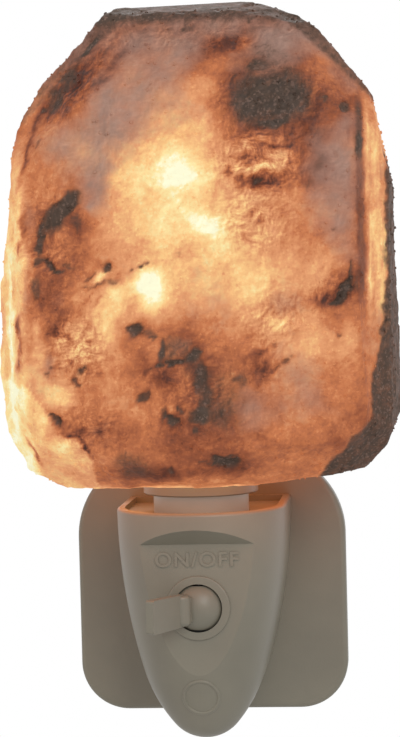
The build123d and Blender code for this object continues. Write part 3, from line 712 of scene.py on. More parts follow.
def field(points, size, octaves=3, offset=0.0, stretch=(1, 1, 1)):
    """Fractal noise about -1 to 1 at each point, with features of the given size."""
    scaled = points / (np.array(stretch) * size) + offset
    return np.array([noise.fractal(Vector(p), 1.0, 2.0, octaves) for p in scaled])


def chips(points, size):
    """Cleaved facets: each cell of the rock leans its own way, -1 to 1."""
    heights = np.empty(len(points))
    for index, point in enumerate(points / size):
        spot = Vector(point)
        seeds = noise.voronoi(spot)[1]
        lean = noise.cell_vector(seeds[0] * 7.3 + Vector((3.1, 1.7, 9.2)))
        heights[index] = (spot - seeds[0]).dot(lean * 2 - Vector((1, 1, 1)))
    return np.clip(heights, -1, 1)


def crystal_copy():
    """Merged copy of the crystal's solid, bore included."""
    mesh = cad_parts["salt_crystal"].data.copy()
    shape = bmesh.new()
    shape.from_mesh(mesh)
    bmesh.ops.remove_doubles(shape, verts=shape.verts, dist=0.01 * MM)
    shape.to_mesh(mesh)
    shape.free()
    return linked(bpy.data.objects.new("crystal_blank", mesh))


def remeshed(obj, size, name):
    """Object as one closed mesh of even small faces."""
    voxels = obj.modifiers.new("voxels", "REMESH")
    voxels.mode = "VOXEL"
    voxels.voxel_size = size
    voxels.use_smooth_shade = True
    return baked(obj, name)


def read_vectors(collection, attribute):
    """Vector attribute of all elements as an array of rows."""
    values = np.empty(len(collection) * 3)
    collection.foreach_get(attribute, values)
    return values.reshape(-1, 3)


# Marks on the front face. Each has its place (x, z) and its radii (along, across) in millimetres,
# the lean of its long side in degrees, and its strength. Bright marks add to the glow.
BRIGHT_MARKS = {
    "upper_hot_spot": (-0.6, 95.2, 6.4, 4.8, -20, 0.17),
    "upper_hot_core": (-2.4, 94.6, 3.0, 2.6, 0, 0.08),
    "halo_over_upper_spot": (2.5, 100.0, 7.0, 4.0, 0, 0.05),
    "middle_hot_spot": (5.8, 84.6, 3.6, 2.9, -20, 0.38),
    "lower_hot_spot": (-6.8, 72.1, 3.4, 3.8, 60, 0.42),
    "lower_hot_tail": (-6.4, 67.8, 3.4, 2.2, 20, 0.20),
    "pale_run_left_of_it": (-14.6, 70.0, 4.6, 3.6, 30, 0.32),
    "pale_run_below": (-16.5, 62.5, 3.6, 6.0, 0, 0.26),
    "broad_heart": (-3.0, 88.0, 16.0, 20.0, 0, 0.21),
    "bright_ridge": (17.8, 96.6, 6.4, 0.8, 6, 0.34),
    "ridge_loops": (21.8, 99.1, 2.3, 1.7, 10, 0.24),
    "ridge_curl": (18.3, 103.0, 1.4, 1.1, 40, 0.28),
    "ridge_point": (14.4, 101.4, 0.7, 0.6, 0, 0.30),
    "amber_slope": (16.6, 90.0, 5.4, 2.2, 0, 0.20),
    "amber_run": (15.5, 84.5, 6.5, 5.0, 0, 0.12),
    "amber_left": (9.5, 79.0, 4.0, 4.0, 0, 0.10),
    "pale_flake_field": (16.5, 72.0, 8.0, 5.0, 30, 0.20),
    "flake_spot": (20.4, 62.6, 4.2, 3.0, 10, 0.26),
    "pale_right": (28.0, 58.0, 6.0, 9.0, 0, 0.16),
    "notch_glow": (28.0, 72.0, 5.5, 5.5, 30, 0.14),
    "grain_nest": (-23.6, 58.4, 4.6, 5.6, 0, 0.26),
    "left_shelf": (-27.6, 47.6, 3.8, 3.4, 0, 0.22),
    "curl_below_pit": (-17.8, 74.0, 2.3, 1.0, 24, 0.38),
    "right_warmth": (27.0, 80.0, 9.0, 10.0, 0, 0.12),
    "pale_right_edge": (35.8, 56.0, 10.0, 3.4, 88, 0.16),
    "left_pale_run": (-32.8, 55.0, 12.0, 2.2, 90, 0.20),
    "left_pale_heart": (-28.0, 60.5, 4.0, 4.0, 0, 0.12),
    "shelf_foot": (-28.6, 36.4, 3.2, 3.0, 0, 0.20),
    "left_shoulder_edge": (-36.4, 102.0, 6.0, 1.4, 74, 0.10),
    "hook_edge": (-33.5, 78.0, 3.0, 1.4, 90, 0.14),
    "nest_head": (-23.5, 62.5, 4.0, 3.0, 0, 0.12),
    "ridge_head": (14.0, 100.6, 3.6, 1.6, 0, 0.14),
    "left_edge_high": (-36.8, 87.0, 5.0, 1.6, 90, 0.20),
    "left_edge_low": (-33.0, 39.5, 4.0, 2.4, 90, 0.18),
    "left_run_head": (-33.0, 62.5, 3.0, 2.0, 90, 0.16),
    "right_of_upper_spot": (7.4, 94.6, 4.6, 6.0, 0, 0.12),
    "amber_by_link": (-0.6, 51.4, 1.7, 1.9, 0, 0.16),
    "inside_foot_pit": (-2.5, 45.0, 1.2, 1.4, 0, 0.14),
    "ember_tail": (5.8, 116.0, 2.6, 4.6, -30, 0.10),
    "left_edge": (-39.5, 60.0, 30.0, 1.2, 90, 0.26),
}
# Rust, and painted shade in creases, under ridges and elsewhere (the marks named shade), which take glow away.
DULL_MARKS = {
    "rust_foot": (-1.0, 38.5, 9.0, 5.6, 4, 0.15),
    "orange_floor": (-17.5, 41.8, 7.0, 5.0, 0, 0.12),
    "shade_under_ridge": (18.7, 94.2, 5.8, 1.7, 0, 0.34),
    "shade_over_ridge": (14.5, 98.9, 2.6, 0.8, 0, 0.10),
    "ridge_pit": (10.5, 96.1, 1.1, 1.5, 0, 0.42),
    "second_ridge_pit": (13.0, 94.7, 0.9, 1.5, 0, 0.34),
    "ridge_line": (21.2, 100.9, 2.9, 0.4, 0, 0.34),
    "ridge_side": (8.3, 92.4, 3.0, 0.8, 80, 0.10),
    "amber_fleck": (16.0, 87.5, 1.1, 0.7, 40, 0.20),
    "amber_crease": (17.5, 85.2, 1.6, 0.6, -60, 0.22),
    "amber_crease_low": (14.5, 81.6, 1.6, 0.7, -50, 0.16),
    "brown_shoulder": (-22.6, 117.2, 11.0, 3.6, 48, 0.22),
    "red_shoulder_stripe": (-13.7, 121.7, 3.4, 1.1, 50, 0.26),
    "lower_shoulder_stripe": (-17.6, 116.4, 3.2, 1.0, 48, 0.22),
    "shoulder_end": (-24.8, 109.6, 3.2, 1.2, 62, 0.20),
    "rust_left": (-27.6, 70.0, 4.8, 4.6, 15, 0.12),
    "rust_above_it": (-25.0, 81.0, 6.0, 3.4, 0, 0.16),
    "rust_by_patch": (-4.1, 50.8, 5.0, 2.8, 0, 0.26),
    "rust_under_slate": (-9.0, 56.0, 1.8, 3.4, 0, 0.16),
    "right_fissures": (17.0, 52.8, 3.0, 2.6, 35, 0.26),
    "fissure_head": (17.4, 56.6, 2.2, 1.2, 0, 0.22),
    "amber_hollow": (0.5, 61.5, 5.0, 2.4, 0, 0.16),
    "ember": (10.4, 124.2, 4.8, 2.2, 10, 0.16),
    "notch_rust": (30.4, 67.9, 2.4, 1.7, 0, 0.24),
    "left_seam_high": (-34.6, 101.0, 9.0, 0.7, 76, 0.28),
    "left_seam_low": (-35.4, 84.6, 4.0, 0.6, 86, 0.30),
    "edge_fleck_high": (-36.6, 80.5, 2.2, 0.6, 86, 0.50),
    "edge_fleck_middle": (-37.0, 63.3, 2.2, 0.7, 88, 0.50),
    "edge_line": (-36.7, 58.8, 3.4, 0.4, 88, 0.30),
    "edge_fleck_low": (-36.9, 55.1, 1.5, 0.9, 90, 0.42),
    "foot_line": (-22.8, 36.1, 3.2, 0.4, -58, 0.46),
    "shelf_crack": (-26.8, 39.0, 2.2, 0.4, -5, 0.36),
    "shelf_knot": (-23.4, 40.2, 1.6, 1.5, 0, 0.26),
    "low_knot": (-19.0, 39.6, 1.1, 0.6, 0, 0.22),
    "rim_line": (-35.4, 35.0, 3.8, 0.6, -62, 0.46),
    "nest_ring": (-28.6, 62.4, 1.4, 1.3, 0, 0.36),
    "nest_pit": (-25.7, 61.2, 1.1, 0.6, 0, 0.36),
    "nest_fleck_right": (-21.3, 59.7, 0.9, 0.7, 0, 0.32),
    "nest_fleck": (-24.5, 58.3, 0.8, 0.5, 30, 0.32),
    "nest_fleck_low": (-25.2, 55.2, 0.9, 0.6, -30, 0.30),
    "nest_fleck_end": (-18.8, 52.9, 0.6, 0.8, 0, 0.26),
    "low_middle": (3.0, 44.0, 22.0, 12.0, 0, 0.08),
    "left_of_patches": (-8.0, 51.5, 7.0, 6.5, 0, 0.12),
    "right_of_patches": (19.0, 46.0, 6.0, 5.0, 0, 0.12),
    "over_upper_spot": (-5.3, 105.0, 5.0, 6.0, 0, 0.10),
    "right_film_shade": (32.5, 94.0, 5.0, 5.0, 0, 0.14),
    "ember_shade": (7.5, 124.6, 4.0, 3.0, 0, 0.12),
    "round_patches": (3.0, 51.5, 7.0, 5.5, 0, 0.06),
    "under_patches": (9.0, 38.6, 8.0, 4.4, 0, 0.10),
    "low_right_slope": (15.5, 38.6, 8.0, 6.0, 0, 0.05),
    "foot_shade": (-2.0, 30.0, 26.0, 2.4, 0, 0.22),
    "corner_shade": (32.5, 35.5, 4.0, 4.0, 40, 0.12),
    "round_ash": (12.5, 111.5, 9.0, 8.0, 0, 0.12),
    "round_film": (29.5, 102.0, 5.0, 7.0, 0, 0.14),
    "shoulder_shade": (-32.4, 108.5, 5.4, 2.4, 60, 0.18),
    "streak_shade": (-20.8, 84.6, 4.6, 3.2, 0, 0.16),
    "pale_streak": (-18.3, 68.7, 1.6, 0.35, 70, 0.20),
    "pale_streak_left": (-20.4, 69.8, 1.4, 0.35, 60, 0.20),
}
# Clay and ash caught in the salt; foot_shadow is a painted shadow at the rock's foot.
DARK_MARKS = {
    "ash_cloud": (23.2, 112.2, 4.8, 4.6, 0, 0.92),
    "ash_cloud_left": (15.5, 111.6, 3.6, 4.8, 0, 0.66),
    "ash_cloud_foot": (20.4, 106.6, 3.0, 1.1, 0, 0.62),
    "ash_cloud_head": (17.0, 119.0, 2.0, 1.3, 0, 0.40),
    "ash_top": (19.0, 121.4, 5.0, 3.0, 0, 0.26),
    "ash_veil": (19.5, 112.4, 9.0, 7.6, -10, 0.34),
    "left_ash_streak": (-27.5, 88.4, 5.0, 1.8, 45, 1.0),
    "streak_side": (-23.4, 85.6, 2.4, 1.0, -70, 0.50),
    "streak_head": (-24.2, 90.6, 2.6, 1.9, 30, 0.60),
    "streak_heart": (-28.2, 85.2, 3.2, 2.0, 40, 0.55),
    "link_head": (2.4, 52.4, 3.2, 2.2, 0, 0.36),
    "streak_tail": (-31.5, 82.4, 3.6, 0.8, 88, 0.85),
    "left_pit": (-29.3, 76.2, 2.4, 0.7, -50, 0.95),
    "left_pit_end": (-27.0, 74.8, 0.9, 0.5, 0, 0.80),
    "left_pit_hook": (-31.9, 77.0, 1.2, 0.7, 60, 0.66),
    "left_pit_side": (-25.2, 76.3, 1.5, 0.8, -20, 0.46),
    "left_blue_core": (-31.9, 71.5, 2.6, 1.1, 88, 0.56),
    "small_pit": (-16.4, 75.9, 1.3, 1.1, 0, 0.86),
    "small_pit_tail": (-19.0, 72.4, 3.4, 0.45, 12, 0.50),
    "curl_hook": (-14.4, 73.0, 1.8, 0.6, 25, 0.42),
    "curl_crack": (-20.2, 74.1, 1.9, 0.3, 42, 0.50),
    "hairline": (-9.2, 75.9, 2.6, 0.35, 12, 0.66),
    "heart_pit": (-1.4, 79.0, 0.7, 0.6, 0, 0.30),
    "low_left_pit": (-22.2, 53.2, 1.5, 0.7, 25, 0.66),
    "low_left_pit_tail": (-24.4, 50.7, 1.5, 0.7, -60, 0.62),
    "round_pit": (-10.5, 62.0, 1.5, 1.5, 0, 1.0),
    "round_pit_tail": (-7.2, 61.0, 1.6, 0.9, -10, 0.52),
    "slate_patch": (-1.6, 57.4, 4.0, 2.7, 8, 0.46),
    "slate_left_edge": (-5.2, 57.2, 2.6, 0.8, 82, 0.70),
    "slate_lower_edge": (-3.2, 54.4, 4.8, 0.5, 8, 1.0),
    "slate_knot": (2.2, 56.4, 1.7, 1.1, 55, 0.90),
    "brown_link": (3.7, 48.0, 6.6, 1.5, -84, 0.56),
    "link_waist": (2.8, 43.2, 2.4, 1.7, 0, 0.66),
    "link_foot": (2.6, 39.8, 1.2, 0.8, -70, 0.70),
    "grey_patch": (8.8, 46.4, 4.6, 7.4, 0, 0.36),
    "grey_patch_core": (7.3, 42.9, 1.9, 3.0, 0, 0.26),
    "grey_patch_flecks": (12.6, 50.6, 1.2, 2.0, 40, 0.34),
    "pit_left_of_patch": (-9.8, 47.4, 1.7, 0.8, 30, 0.72),
    "pit_over_foot": (-3.0, 42.3, 1.8, 0.7, -8, 0.95),
    "pit_left_arm": (-5.0, 43.4, 1.9, 0.6, 72, 0.66),
    "pit_right_arm": (-0.9, 44.7, 1.1, 0.5, -70, 0.62),
    "oval_pit": (8.6, 32.8, 3.5, 1.3, -8, 1.05),
    "oval_pit_line": (3.4, 32.6, 1.9, 0.3, -8, 0.50),
    "left_foot_notch": (-29.8, 42.4, 2.3, 0.8, -58, 0.86),
    "mauve_speck": (-29.8, 54.0, 0.6, 0.5, 0, 0.50),
    "mauve_point": (-31.1, 52.4, 1.0, 0.5, -40, 0.50),
    "right_notch": (35.4, 68.9, 3.4, 1.0, 57, 1.1),
    "notch_foot": (33.3, 66.5, 1.3, 0.7, 0, 1.0),
    "notch_line": (37.0, 74.0, 2.8, 0.45, 88, 0.60),
    "notch_outer_line": (38.2, 71.6, 2.0, 0.35, 88, 0.46),
    "right_speck": (33.6, 60.6, 0.7, 0.5, 0, 0.56),
    "right_fissure": (21.8, 54.5, 3.0, 0.35, 45, 0.46),
    "fissure_knot": (20.2, 57.8, 0.8, 0.6, 0, 0.46),
    "foot_shadow": (-12.6, 31.9, 4.4, 3.0, 0, 0.46),
    "foot_pit": (-4.0, 30.6, 1.0, 0.9, 30, 0.62),
    "under_ridge_pit": (17.3, 94.1, 0.9, 0.6, 0, 0.72),
    "shoulder_ash": (-25.0, 117.6, 2.8, 1.5, 50, 0.62),
    "shoulder_ash_low": (-28.2, 113.2, 2.7, 1.9, 50, 0.70),
    "shoulder_speck": (-31.2, 111.0, 0.7, 0.6, 0, 0.72),
    "shoulder_rim": (-20.4, 125.2, 2.6, 0.7, 40, 0.80),
    "edge_speck": (-31.4, 103.7, 1.0, 0.7, 40, 0.40),
    "crown_fleck": (1.4, 128.9, 1.6, 0.8, 0, 0.36),
    "crown_line": (15.4, 129.6, 1.1, 0.5, 80, 0.56),
    "crown_line_low": (16.8, 125.8, 1.1, 0.35, 88, 0.46),
    "slope_fleck": (31.6, 111.2, 1.0, 0.8, 0, 0.56),
    "slope_knot": (35.6, 109.6, 1.2, 1.5, 0, 0.80),
    "film_fleck": (28.1, 92.8, 1.6, 1.3, 0, 0.36),
    "film_fleck_high": (30.7, 97.8, 1.1, 1.6, 0, 0.36),
    "film_speck": (33.9, 83.7, 0.6, 0.5, 0, 0.40),
}
# Patches of the dust film.
MAUVE_MARKS = {
    "upper_left_film": (-9.5, 112.0, 11.0, 8.0, 25, 0.56),
    "left_film": (-19.0, 102.0, 7.0, 9.5, 0, 0.56),
    "upper_left_wash": (-12.0, 107.0, 12.0, 12.0, 0, 0.26),
    "left_film_low": (-17.5, 92.0, 4.5, 7.0, 0, 0.36),
    "film_spot": (-20.1, 89.5, 1.9, 1.6, 20, 0.60),
    "right_edge_film": (35.5, 102.0, 12.0, 3.6, 88, 0.66),
    "right_edge_film_low": (35.0, 86.0, 9.0, 3.4, 90, 0.50),
    "film_by_ash": (29.5, 104.0, 4.0, 6.0, 0, 0.46),
    "top_right_film": (21.5, 123.5, 5.6, 6.4, 0, 0.70),
    "crown_film": (-4.0, 125.5, 9.0, 5.0, 0, 0.40),
    "right_low_film": (28.0, 50.0, 10.0, 4.0, 80, 0.30),
    "low_film": (16.0, 42.5, 6.0, 6.5, 30, 0.44),
    "patch_film": (9.5, 46.0, 5.5, 7.0, 0, 0.46),
    "slate_film": (-0.4, 58.6, 3.6, 2.6, 0, 0.50),
    "left_low_film": (-30.6, 56.2, 4.8, 1.7, 84, 0.56),
    "pit_film": (-21.2, 49.5, 2.6, 2.4, 0, 0.50),
    "rust_film": (-28.0, 68.0, 4.0, 5.0, 0, 0.20),
    "left_film_high": (-26.0, 103.5, 5.0, 4.5, 0, 0.60),
    "left_film_top": (-16.5, 114.0, 4.5, 4.0, 0, 0.44),
    "left_film_foot": (-19.5, 93.5, 4.5, 6.0, 0, 0.40),
    "crown_film_low": (1.0, 120.5, 5.5, 4.5, 0, 0.44),
    "right_film": (32.0, 98.0, 8.0, 5.0, 88, 0.34),
    "right_film_left": (28.0, 92.0, 8.0, 8.0, 0, 0.26),
    "pale_low_film": (26.0, 51.0, 12.0, 12.0, 0, 0.44),
    "middle_film": (4.5, 71.0, 9.0, 7.0, 0, 0.40),
    "right_wash": (27.0, 84.0, 10.0, 10.0, 0, 0.26),
    "patch_film_right": (13.5, 44.5, 4.5, 6.0, 0, 0.40),
    "film_left_of_rust": (-11.0, 50.6, 2.2, 2.8, 0, 0.34),
    "flake_film": (32.2, 61.6, 1.6, 1.6, 0, 0.34),
    "flake_film_left": (28.4, 59.6, 2.4, 1.3, 60, 0.34),
}
# Places rubbed free of the film.
CLEAR_MARKS = {
    "ember": (10.4, 124.2, 6.0, 2.8, 10, 1.0),
    "ember_tail": (5.8, 116.5, 3.2, 6.0, -30, 0.70),
    "creases": (17.5, 97.5, 8.5, 7.0, 0, 0.50),
    "right_slope": (30.0, 119.0, 5.0, 4.0, -45, 0.50),
    "shoulder": (-22.0, 117.5, 11.0, 3.8, 48, 0.60),
    "low_left": (-14.0, 40.0, 14.0, 9.0, 0, 0.90),
    "left_rust": (-26.5, 78.0, 6.0, 8.0, 0, 0.40),
    "left_orange": (-32.6, 95.5, 3.0, 4.0, 0, 0.50),
    "heart": (6.0, 84.0, 10.0, 14.0, 0, 0.30),
    "amber": (16.5, 88.0, 9.0, 9.0, 0, 0.65),
}
# Places with a rougher surface.
ROUGH_MARKS = {
    "creased_band": (17.5, 98.0, 8.0, 6.0, 0, 1.3),
    "amber_creases": (15.5, 85.5, 6.5, 6.0, 0, 0.9),
    "grain_nest": (-24.0, 58.5, 5.4, 6.4, 0, 1.6),
    "left_side": (-29.0, 80.0, 6.0, 12.0, 0, 0.6),
    "ash": (20.5, 112.0, 9.5, 7.0, 0, 1.0),
    "shoulder": (-23.0, 117.0, 11.0, 4.0, 48, 0.8),
    "crown": (4.0, 128.0, 20.0, 4.5, 0, 0.8),
    "patches": (2.0, 49.0, 9.0, 10.0, 0, 0.5),
    "left_foot": (-22.0, 40.0, 6.0, 6.0, 0, 0.6),
    "notch": (32.5, 70.0, 5.0, 4.0, 0, 0.8),
    "flakes": (19.5, 64.5, 6.0, 5.0, 30, 0.8),
    "fissures": (18.0, 54.0, 4.0, 4.0, 30, 0.5),
}
# How deep a dark mark is sunk into the face, in millimetres.
HOLLOWS = {
    "left_pit": 1.0, "small_pit": 0.9, "round_pit": 1.2, "slate_lower_edge": 1.0, "slate_knot": 0.7,
    "grey_patch": 0.4, "brown_link": 0.5, "pit_left_of_patch": 0.8, "pit_over_foot": 0.9, "oval_pit": 1.2,
    "pit_left_arm": 0.5, "left_foot_notch": 1.1, "right_notch": 1.3, "notch_foot": 0.9, "notch_line": 0.5,
    "low_left_pit": 0.7, "low_left_pit_tail": 0.6, "ash_cloud": 0.5, "ash_cloud_left": 0.5,
    "left_ash_streak": 0.7, "streak_tail": 0.6, "right_fissure": 0.6, "curl_crack": 0.5, "small_pit_tail": 0.6,
    "hairline": 0.5, "under_ridge_pit": 0.8, "shoulder_ash_low": 0.5, "slope_knot": 0.7, "foot_pit": 0.6,
}
# Upper edge (x, z) of the bright facet at the lower left, and its right side.
LOW_FACET = ((-41.0, 51.0), (-35.0, 50.0), (-31.7, 45.5), (-29.0, 40.6), (-24.4, 38.7), (-21.3, 33.4))
LOW_FACET_SIDE = -21.6
# Left edge of the painted shade on the rock's right side, as (z, x).
DARK_EDGE = ((27.0, 27.5), (31.8, 31.2), (41.3, 40.0), (50.0, 40.4), (57.0, 42.0), (62.5, 43.3), (112.0, 44.4))
# Depths (y) between which the marks fade in, from the flanks to the front face.
FRONT_FACE = -34
FRONT_FULL = -44


def mark(points, spec, wobble, soft=0.0):
    """Spot on the front face with its edge broken by the wobble; a soft one fades out over so many radii."""
    x, z, along, across, lean = spec[:5]
    turn = math.radians(lean)
    dx = points[:, 0] / MM + wobble[:, 0] - x
    dz = points[:, 2] / MM + wobble[:, 1] - z
    u = (dx * math.cos(turn) + dz * math.sin(turn)) / along
    v = (dz * math.cos(turn) - dx * math.sin(turn)) / across
    front = smooth_step(points[:, 1] / MM, FRONT_FACE, FRONT_FULL)
    radius = np.hypot(u, v)
    if soft:
        return np.exp(-1.3 * (radius / soft) ** 2) * front
    edge = min(0.75, 0.25 + 0.1 * min(along, across))
    return smooth_step(radius, 1 + edge, 1 - edge) * front


def summed(points, marks, wobble, soft=0.0):
    """All marks of a group added, each with its strength."""
    return sum(mark(points, spec, wobble, soft) * spec[5] for spec in marks.values())


def carve(points, settings):
    """Outward shift of each point: broad relief, cleaved chips, fine grain and the hollows."""
    wobble = np.stack([field(points, 5 * MM, 3, 11.0), field(points, 5 * MM, 3, 23.0)], 1) * 0.9
    wobble += np.stack([field(points, 1.9 * MM, 2, 31.0), field(points, 1.9 * MM, 2, 37.0)], 1) * 0.45
    shift = field(points, 20 * MM, 3, 5.0) * settings.relief
    shift += chips(points, settings.chip_size) * settings.chip_depth
    rough = 0.25 + summed(points, ROUGH_MARKS, wobble)
    shift += field(points, 3.2 * MM, 3, 41.0) * settings.roughness * (0.6 + rough)
    shift += (np.abs(field(points, 4.5 * MM, 4, 57.0)) - 0.25) * -1.2 * settings.roughness * rough
    for name, depth in HOLLOWS.items():
        shift -= mark(points, DARK_MARKS[name], wobble) * depth * MM
    shift += mark(points, BRIGHT_MARKS["bright_ridge"], wobble) * 0.9 * MM
    shift -= mark(points, DULL_MARKS["shade_under_ridge"], wobble) * 0.7 * MM
    corner = smooth_step(points[:, 0], 17 * MM, 27 * MM) * smooth_step(points[:, 2], 127 * MM, 131 * MM)
    shift -= CROWN_CORNER_DROP * corner
    return shift, wobble, rough


def light_reach(points, settings):
    """Glow that comes through the stone: brightest where the wall between lamp and face is thin."""
    low, high = settings.lamp_low, settings.lamp_high
    nearest = np.clip(points[:, 2], low, high)
    away = np.sqrt((points[:, 0] - AXIS.x) ** 2 + (points[:, 1] - AXIS.y) ** 2 + (points[:, 2] - nearest) ** 2)
    return np.exp(-(away - COLLAR_RADIUS) / settings.reach)


def paint(points, wobble, settings):
    """Glow, dust, stain_and_shade values, and lit underside of each point."""
    x, y, z = points.T / MM
    broad = field(points, 16 * MM, 4, 71.0)
    patchy = field(points, 7 * MM, 4, 83.0)
    glow = 0.26 + 0.66 * light_reach(points, settings) + 0.11 * broad + 0.08 * patchy
    bright = summed(points, BRIGHT_MARKS, wobble, soft=1.0)
    dull = summed(points, DULL_MARKS, wobble, soft=1.0)
    halo = np.minimum(summed(points, DARK_MARKS, wobble * 1.6, soft=1.9), 1)
    glow += bright - dull - 0.15 * halo
    glow += 0.24 * smooth_step(x, -33.5, -36.5) * smooth_step(z, 105, 90)
    beneath = np.interp(x, *zip(*LOW_FACET)) - z + wobble[:, 0]
    facet = smooth_step(beneath, -0.2, 0.6)
    facet *= smooth_step(x + wobble[:, 1], LOW_FACET_SIDE + 0.4, LOW_FACET_SIDE - 0.4)
    facet *= smooth_step(y, FRONT_FACE, FRONT_FULL)
    glow += 0.17 * facet
    span = smooth_step(z, 57, 73) * smooth_step(z, 116, 104)
    strip = smooth_step(x, 39.6, 40.6) * smooth_step(x, 45.2, 43.8) * span
    streaks = field(points, 3.0 * MM, 3, 91.0, stretch=(0.35, 0.6, 3.0))
    glow += (0.24 + 0.16 * streaks) * strip
    # Painted shade: a dark line at the step along the front face's right edge, which dims the glow here and
    # darkens the colour further down.
    step_shade = smooth_step(x, 37.8, 38.6) * smooth_step(x, 40.0, 39.2) * smooth_step(z, 62, 74) * span
    glow -= 0.16 * step_shade
    glow -= 0.10 * smooth_step(z, 112, 128)
    below = smooth_step(z, 27, 24.9)
    near = smooth_step(np.hypot(x - AXIS.x / MM, y - AXIS.y / MM), 34, 14)
    glow += below * near * 0.4

    dust = 0.16 + 0.30 * broad - 0.25 * patchy
    dust += 0.55 * smooth_step(z, 108, 126)
    dust -= 0.35 * smooth_step(z, 62, 46)
    dust += summed(points, MAUVE_MARKS, wobble, soft=1.0) - summed(points, CLEAR_MARKS, wobble, soft=1.0)
    dust -= 1.2 * bright + 1.2 * dull + 0.35 * halo + 0.8 * facet + 0.8 * smooth_step(glow, 0.60, 0.82)

    # Inclusions first, with the painted foot shadow among the dark marks; painted shade is added further down.
    stain_and_shade = 0.9 * summed(points, DARK_MARKS, wobble) + 0.22 * summed(points, DARK_MARKS, wobble * 1.6, soft=1.0)
    # Painted shade on the unlit right side: darker, and with less dust film.
    heights, sides = zip(*DARK_EDGE)
    right_side_shade = smooth_step(x + wobble[:, 0] - np.interp(z, heights, sides), -0.7, 1.0)
    right_side_shade *= smooth_step(z, 114, 98) * smooth_step(y, -57, -50)
    stain_and_shade += 0.95 * right_side_shade
    dust -= 0.8 * right_side_shade
    # Painted shade of the step's line in the colour, strongest towards its top.
    stain_and_shade += (0.28 + 0.6 * smooth_step(z, 95, 103)) * step_shade * (0.8 + patchy)
    # Painted shade: the crown darker towards its top.
    crown = smooth_step(z, 124, 133)
    # Painted shade: dark rims along the upper right and upper left silhouettes.
    right_rim_shade = smooth_step(x + z, 152.4, 154.4) * smooth_step(x, 19, 25) * smooth_step(z, 107, 113)
    left_rim_shade = smooth_step(z - x, 143.2, 144.8) * smooth_step(x, -8, -13)
    stain_and_shade += (0.34 + 0.3 * patchy) * crown + 0.60 * smooth_step(z, 129, 131.5) + 0.62 * right_rim_shade + 0.40 * left_rim_shade
    return np.clip(glow, 0, 1.05), np.clip(dust, 0, 1.2), np.clip(stain_and_shade, 0, 1.2), below * near


def store(mesh, name, values):
    """Float attribute on the mesh's points."""
    layer = mesh.attributes.new(name, "FLOAT", "POINT")
    layer.data.foreach_set("value", values.astype(np.float32))


def bore_depth(points):
    """Distance of each point from the bore's axis, and the height where the bore ends."""
    radius = np.hypot(points[:, 0] - AXIS.x, points[:, 1] - AXIS.y)
    source = read_vectors(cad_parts["salt_crystal"].data.vertices, "co")
    inner = np.hypot(source[:, 0] - AXIS.x, source[:, 1] - AXIS.y) < COLLAR_RADIUS + 0.5 * MM
    return radius, source[inner, 2].max()


def salt_crystal(settings):
    """Carved crystal from the CAD lump, with its painted attributes."""
    obj = remeshed(crystal_copy(), settings.mesh_size, "carved_salt_crystal")
    points = read_vectors(obj.data.vertices, "co")
    normals = read_vectors(obj.data.vertices, "normal")
    radius, bore_top = bore_depth(points)
    inside = (radius < COLLAR_RADIUS + 1.2 * MM) & (points[:, 2] < bore_top + 1.5 * MM)
    shift, wobble, rough = carve(points, settings)
    calm = smooth_step(radius, COLLAR_RADIUS + 1.2 * MM, COLLAR_RADIUS + 4 * MM)
    foot = smooth_step(points[:, 2], ROCK_LOW.z + 1.5 * MM, ROCK_LOW.z)
    shift *= 1 - foot * (1 - calm)
    shift[inside] = 0
    moved = points + normals * shift[:, None]
    keep = 0.02 * MM
    for axis in range(3):
        moved[:, axis] = np.clip(moved[:, axis], ROCK_LOW[axis] + keep, ROCK_HIGH[axis] - keep)
    obj.data.vertices.foreach_set("co", moved.ravel())
    glow, dust, stain_and_shade, under = paint(points, wobble, settings)
    for name, values in zip(PAINTED, (glow, dust, stain_and_shade, rough, under)):
        store(obj.data, name, values)
    obj.data.update()
    return obj


def grain_seed():
    """Small broken cube of unit half width, the shape of one grown grain."""
    shape = bmesh.new()
    bmesh.ops.create_cube(shape, size=2.0)
    bmesh.ops.bisect_plane(shape, geom=shape.verts[:] + shape.edges[:] + shape.faces[:],
                           plane_co=(0.5, 0.45, 0.6), plane_no=(1.0, 0.8, 0.9), clear_outer=True)
    bmesh.ops.contextual_create(shape, geom=[edge for edge in shape.edges if edge.is_boundary])
    bmesh.ops.recalc_face_normals(shape, faces=shape.faces)
    mesh = bpy.data.meshes.new("grain_seed")
    shape.to_mesh(mesh)
    shape.free()
    return linked(bpy.data.objects.new("grain_seed", mesh))


def grain_tree():
    """Grains scattered over the open rock, turned and sized at random from a fixed seed."""
    graph, source, result = geometry_tree("salt_grains", [
        ("Grain", "NodeSocketObject", None), ("Density", "NodeSocketFloat", 90000.0),
        ("Size", "NodeSocketFloat", 0.4 * MM), ("Seed", "NodeSocketInt", 7),
        ("Material", "NodeSocketMaterial", None)])
    open_rock = graph.add("GeometryNodeInputNamedAttribute", {"data_type": "FLOAT"}, Name="open")
    density = graph.maths("MULTIPLY", source.outputs["Density"], open_rock.outputs["Attribute"])
    points = graph.add("GeometryNodeDistributePointsOnFaces", Mesh=source.outputs["Geometry"],
                       Density=density, Seed=source.outputs["Seed"])
    turn = graph.add("FunctionNodeRandomValue", {"data_type": "FLOAT_VECTOR"}, Seed=source.outputs["Seed"])
    turn.inputs[1].default_value = (math.tau, math.tau, math.tau)
    share = graph.add("FunctionNodeRandomValue", {"data_type": "FLOAT"}, Seed=source.outputs["Seed"])
    share.inputs[2].default_value = 0.45
    share.inputs[3].default_value = 1.0
    grain = graph.add("GeometryNodeObjectInfo", Object=source.outputs["Grain"])
    placed = graph.add("GeometryNodeInstanceOnPoints", Points=points.outputs["Points"],
                       Instance=grain.outputs["Geometry"], Rotation=turn.outputs[0],
                       Scale=graph.maths("MULTIPLY", share.outputs[1], source.outputs["Size"]))
    return closed_tree(graph, source, result, placed.outputs["Instances"])


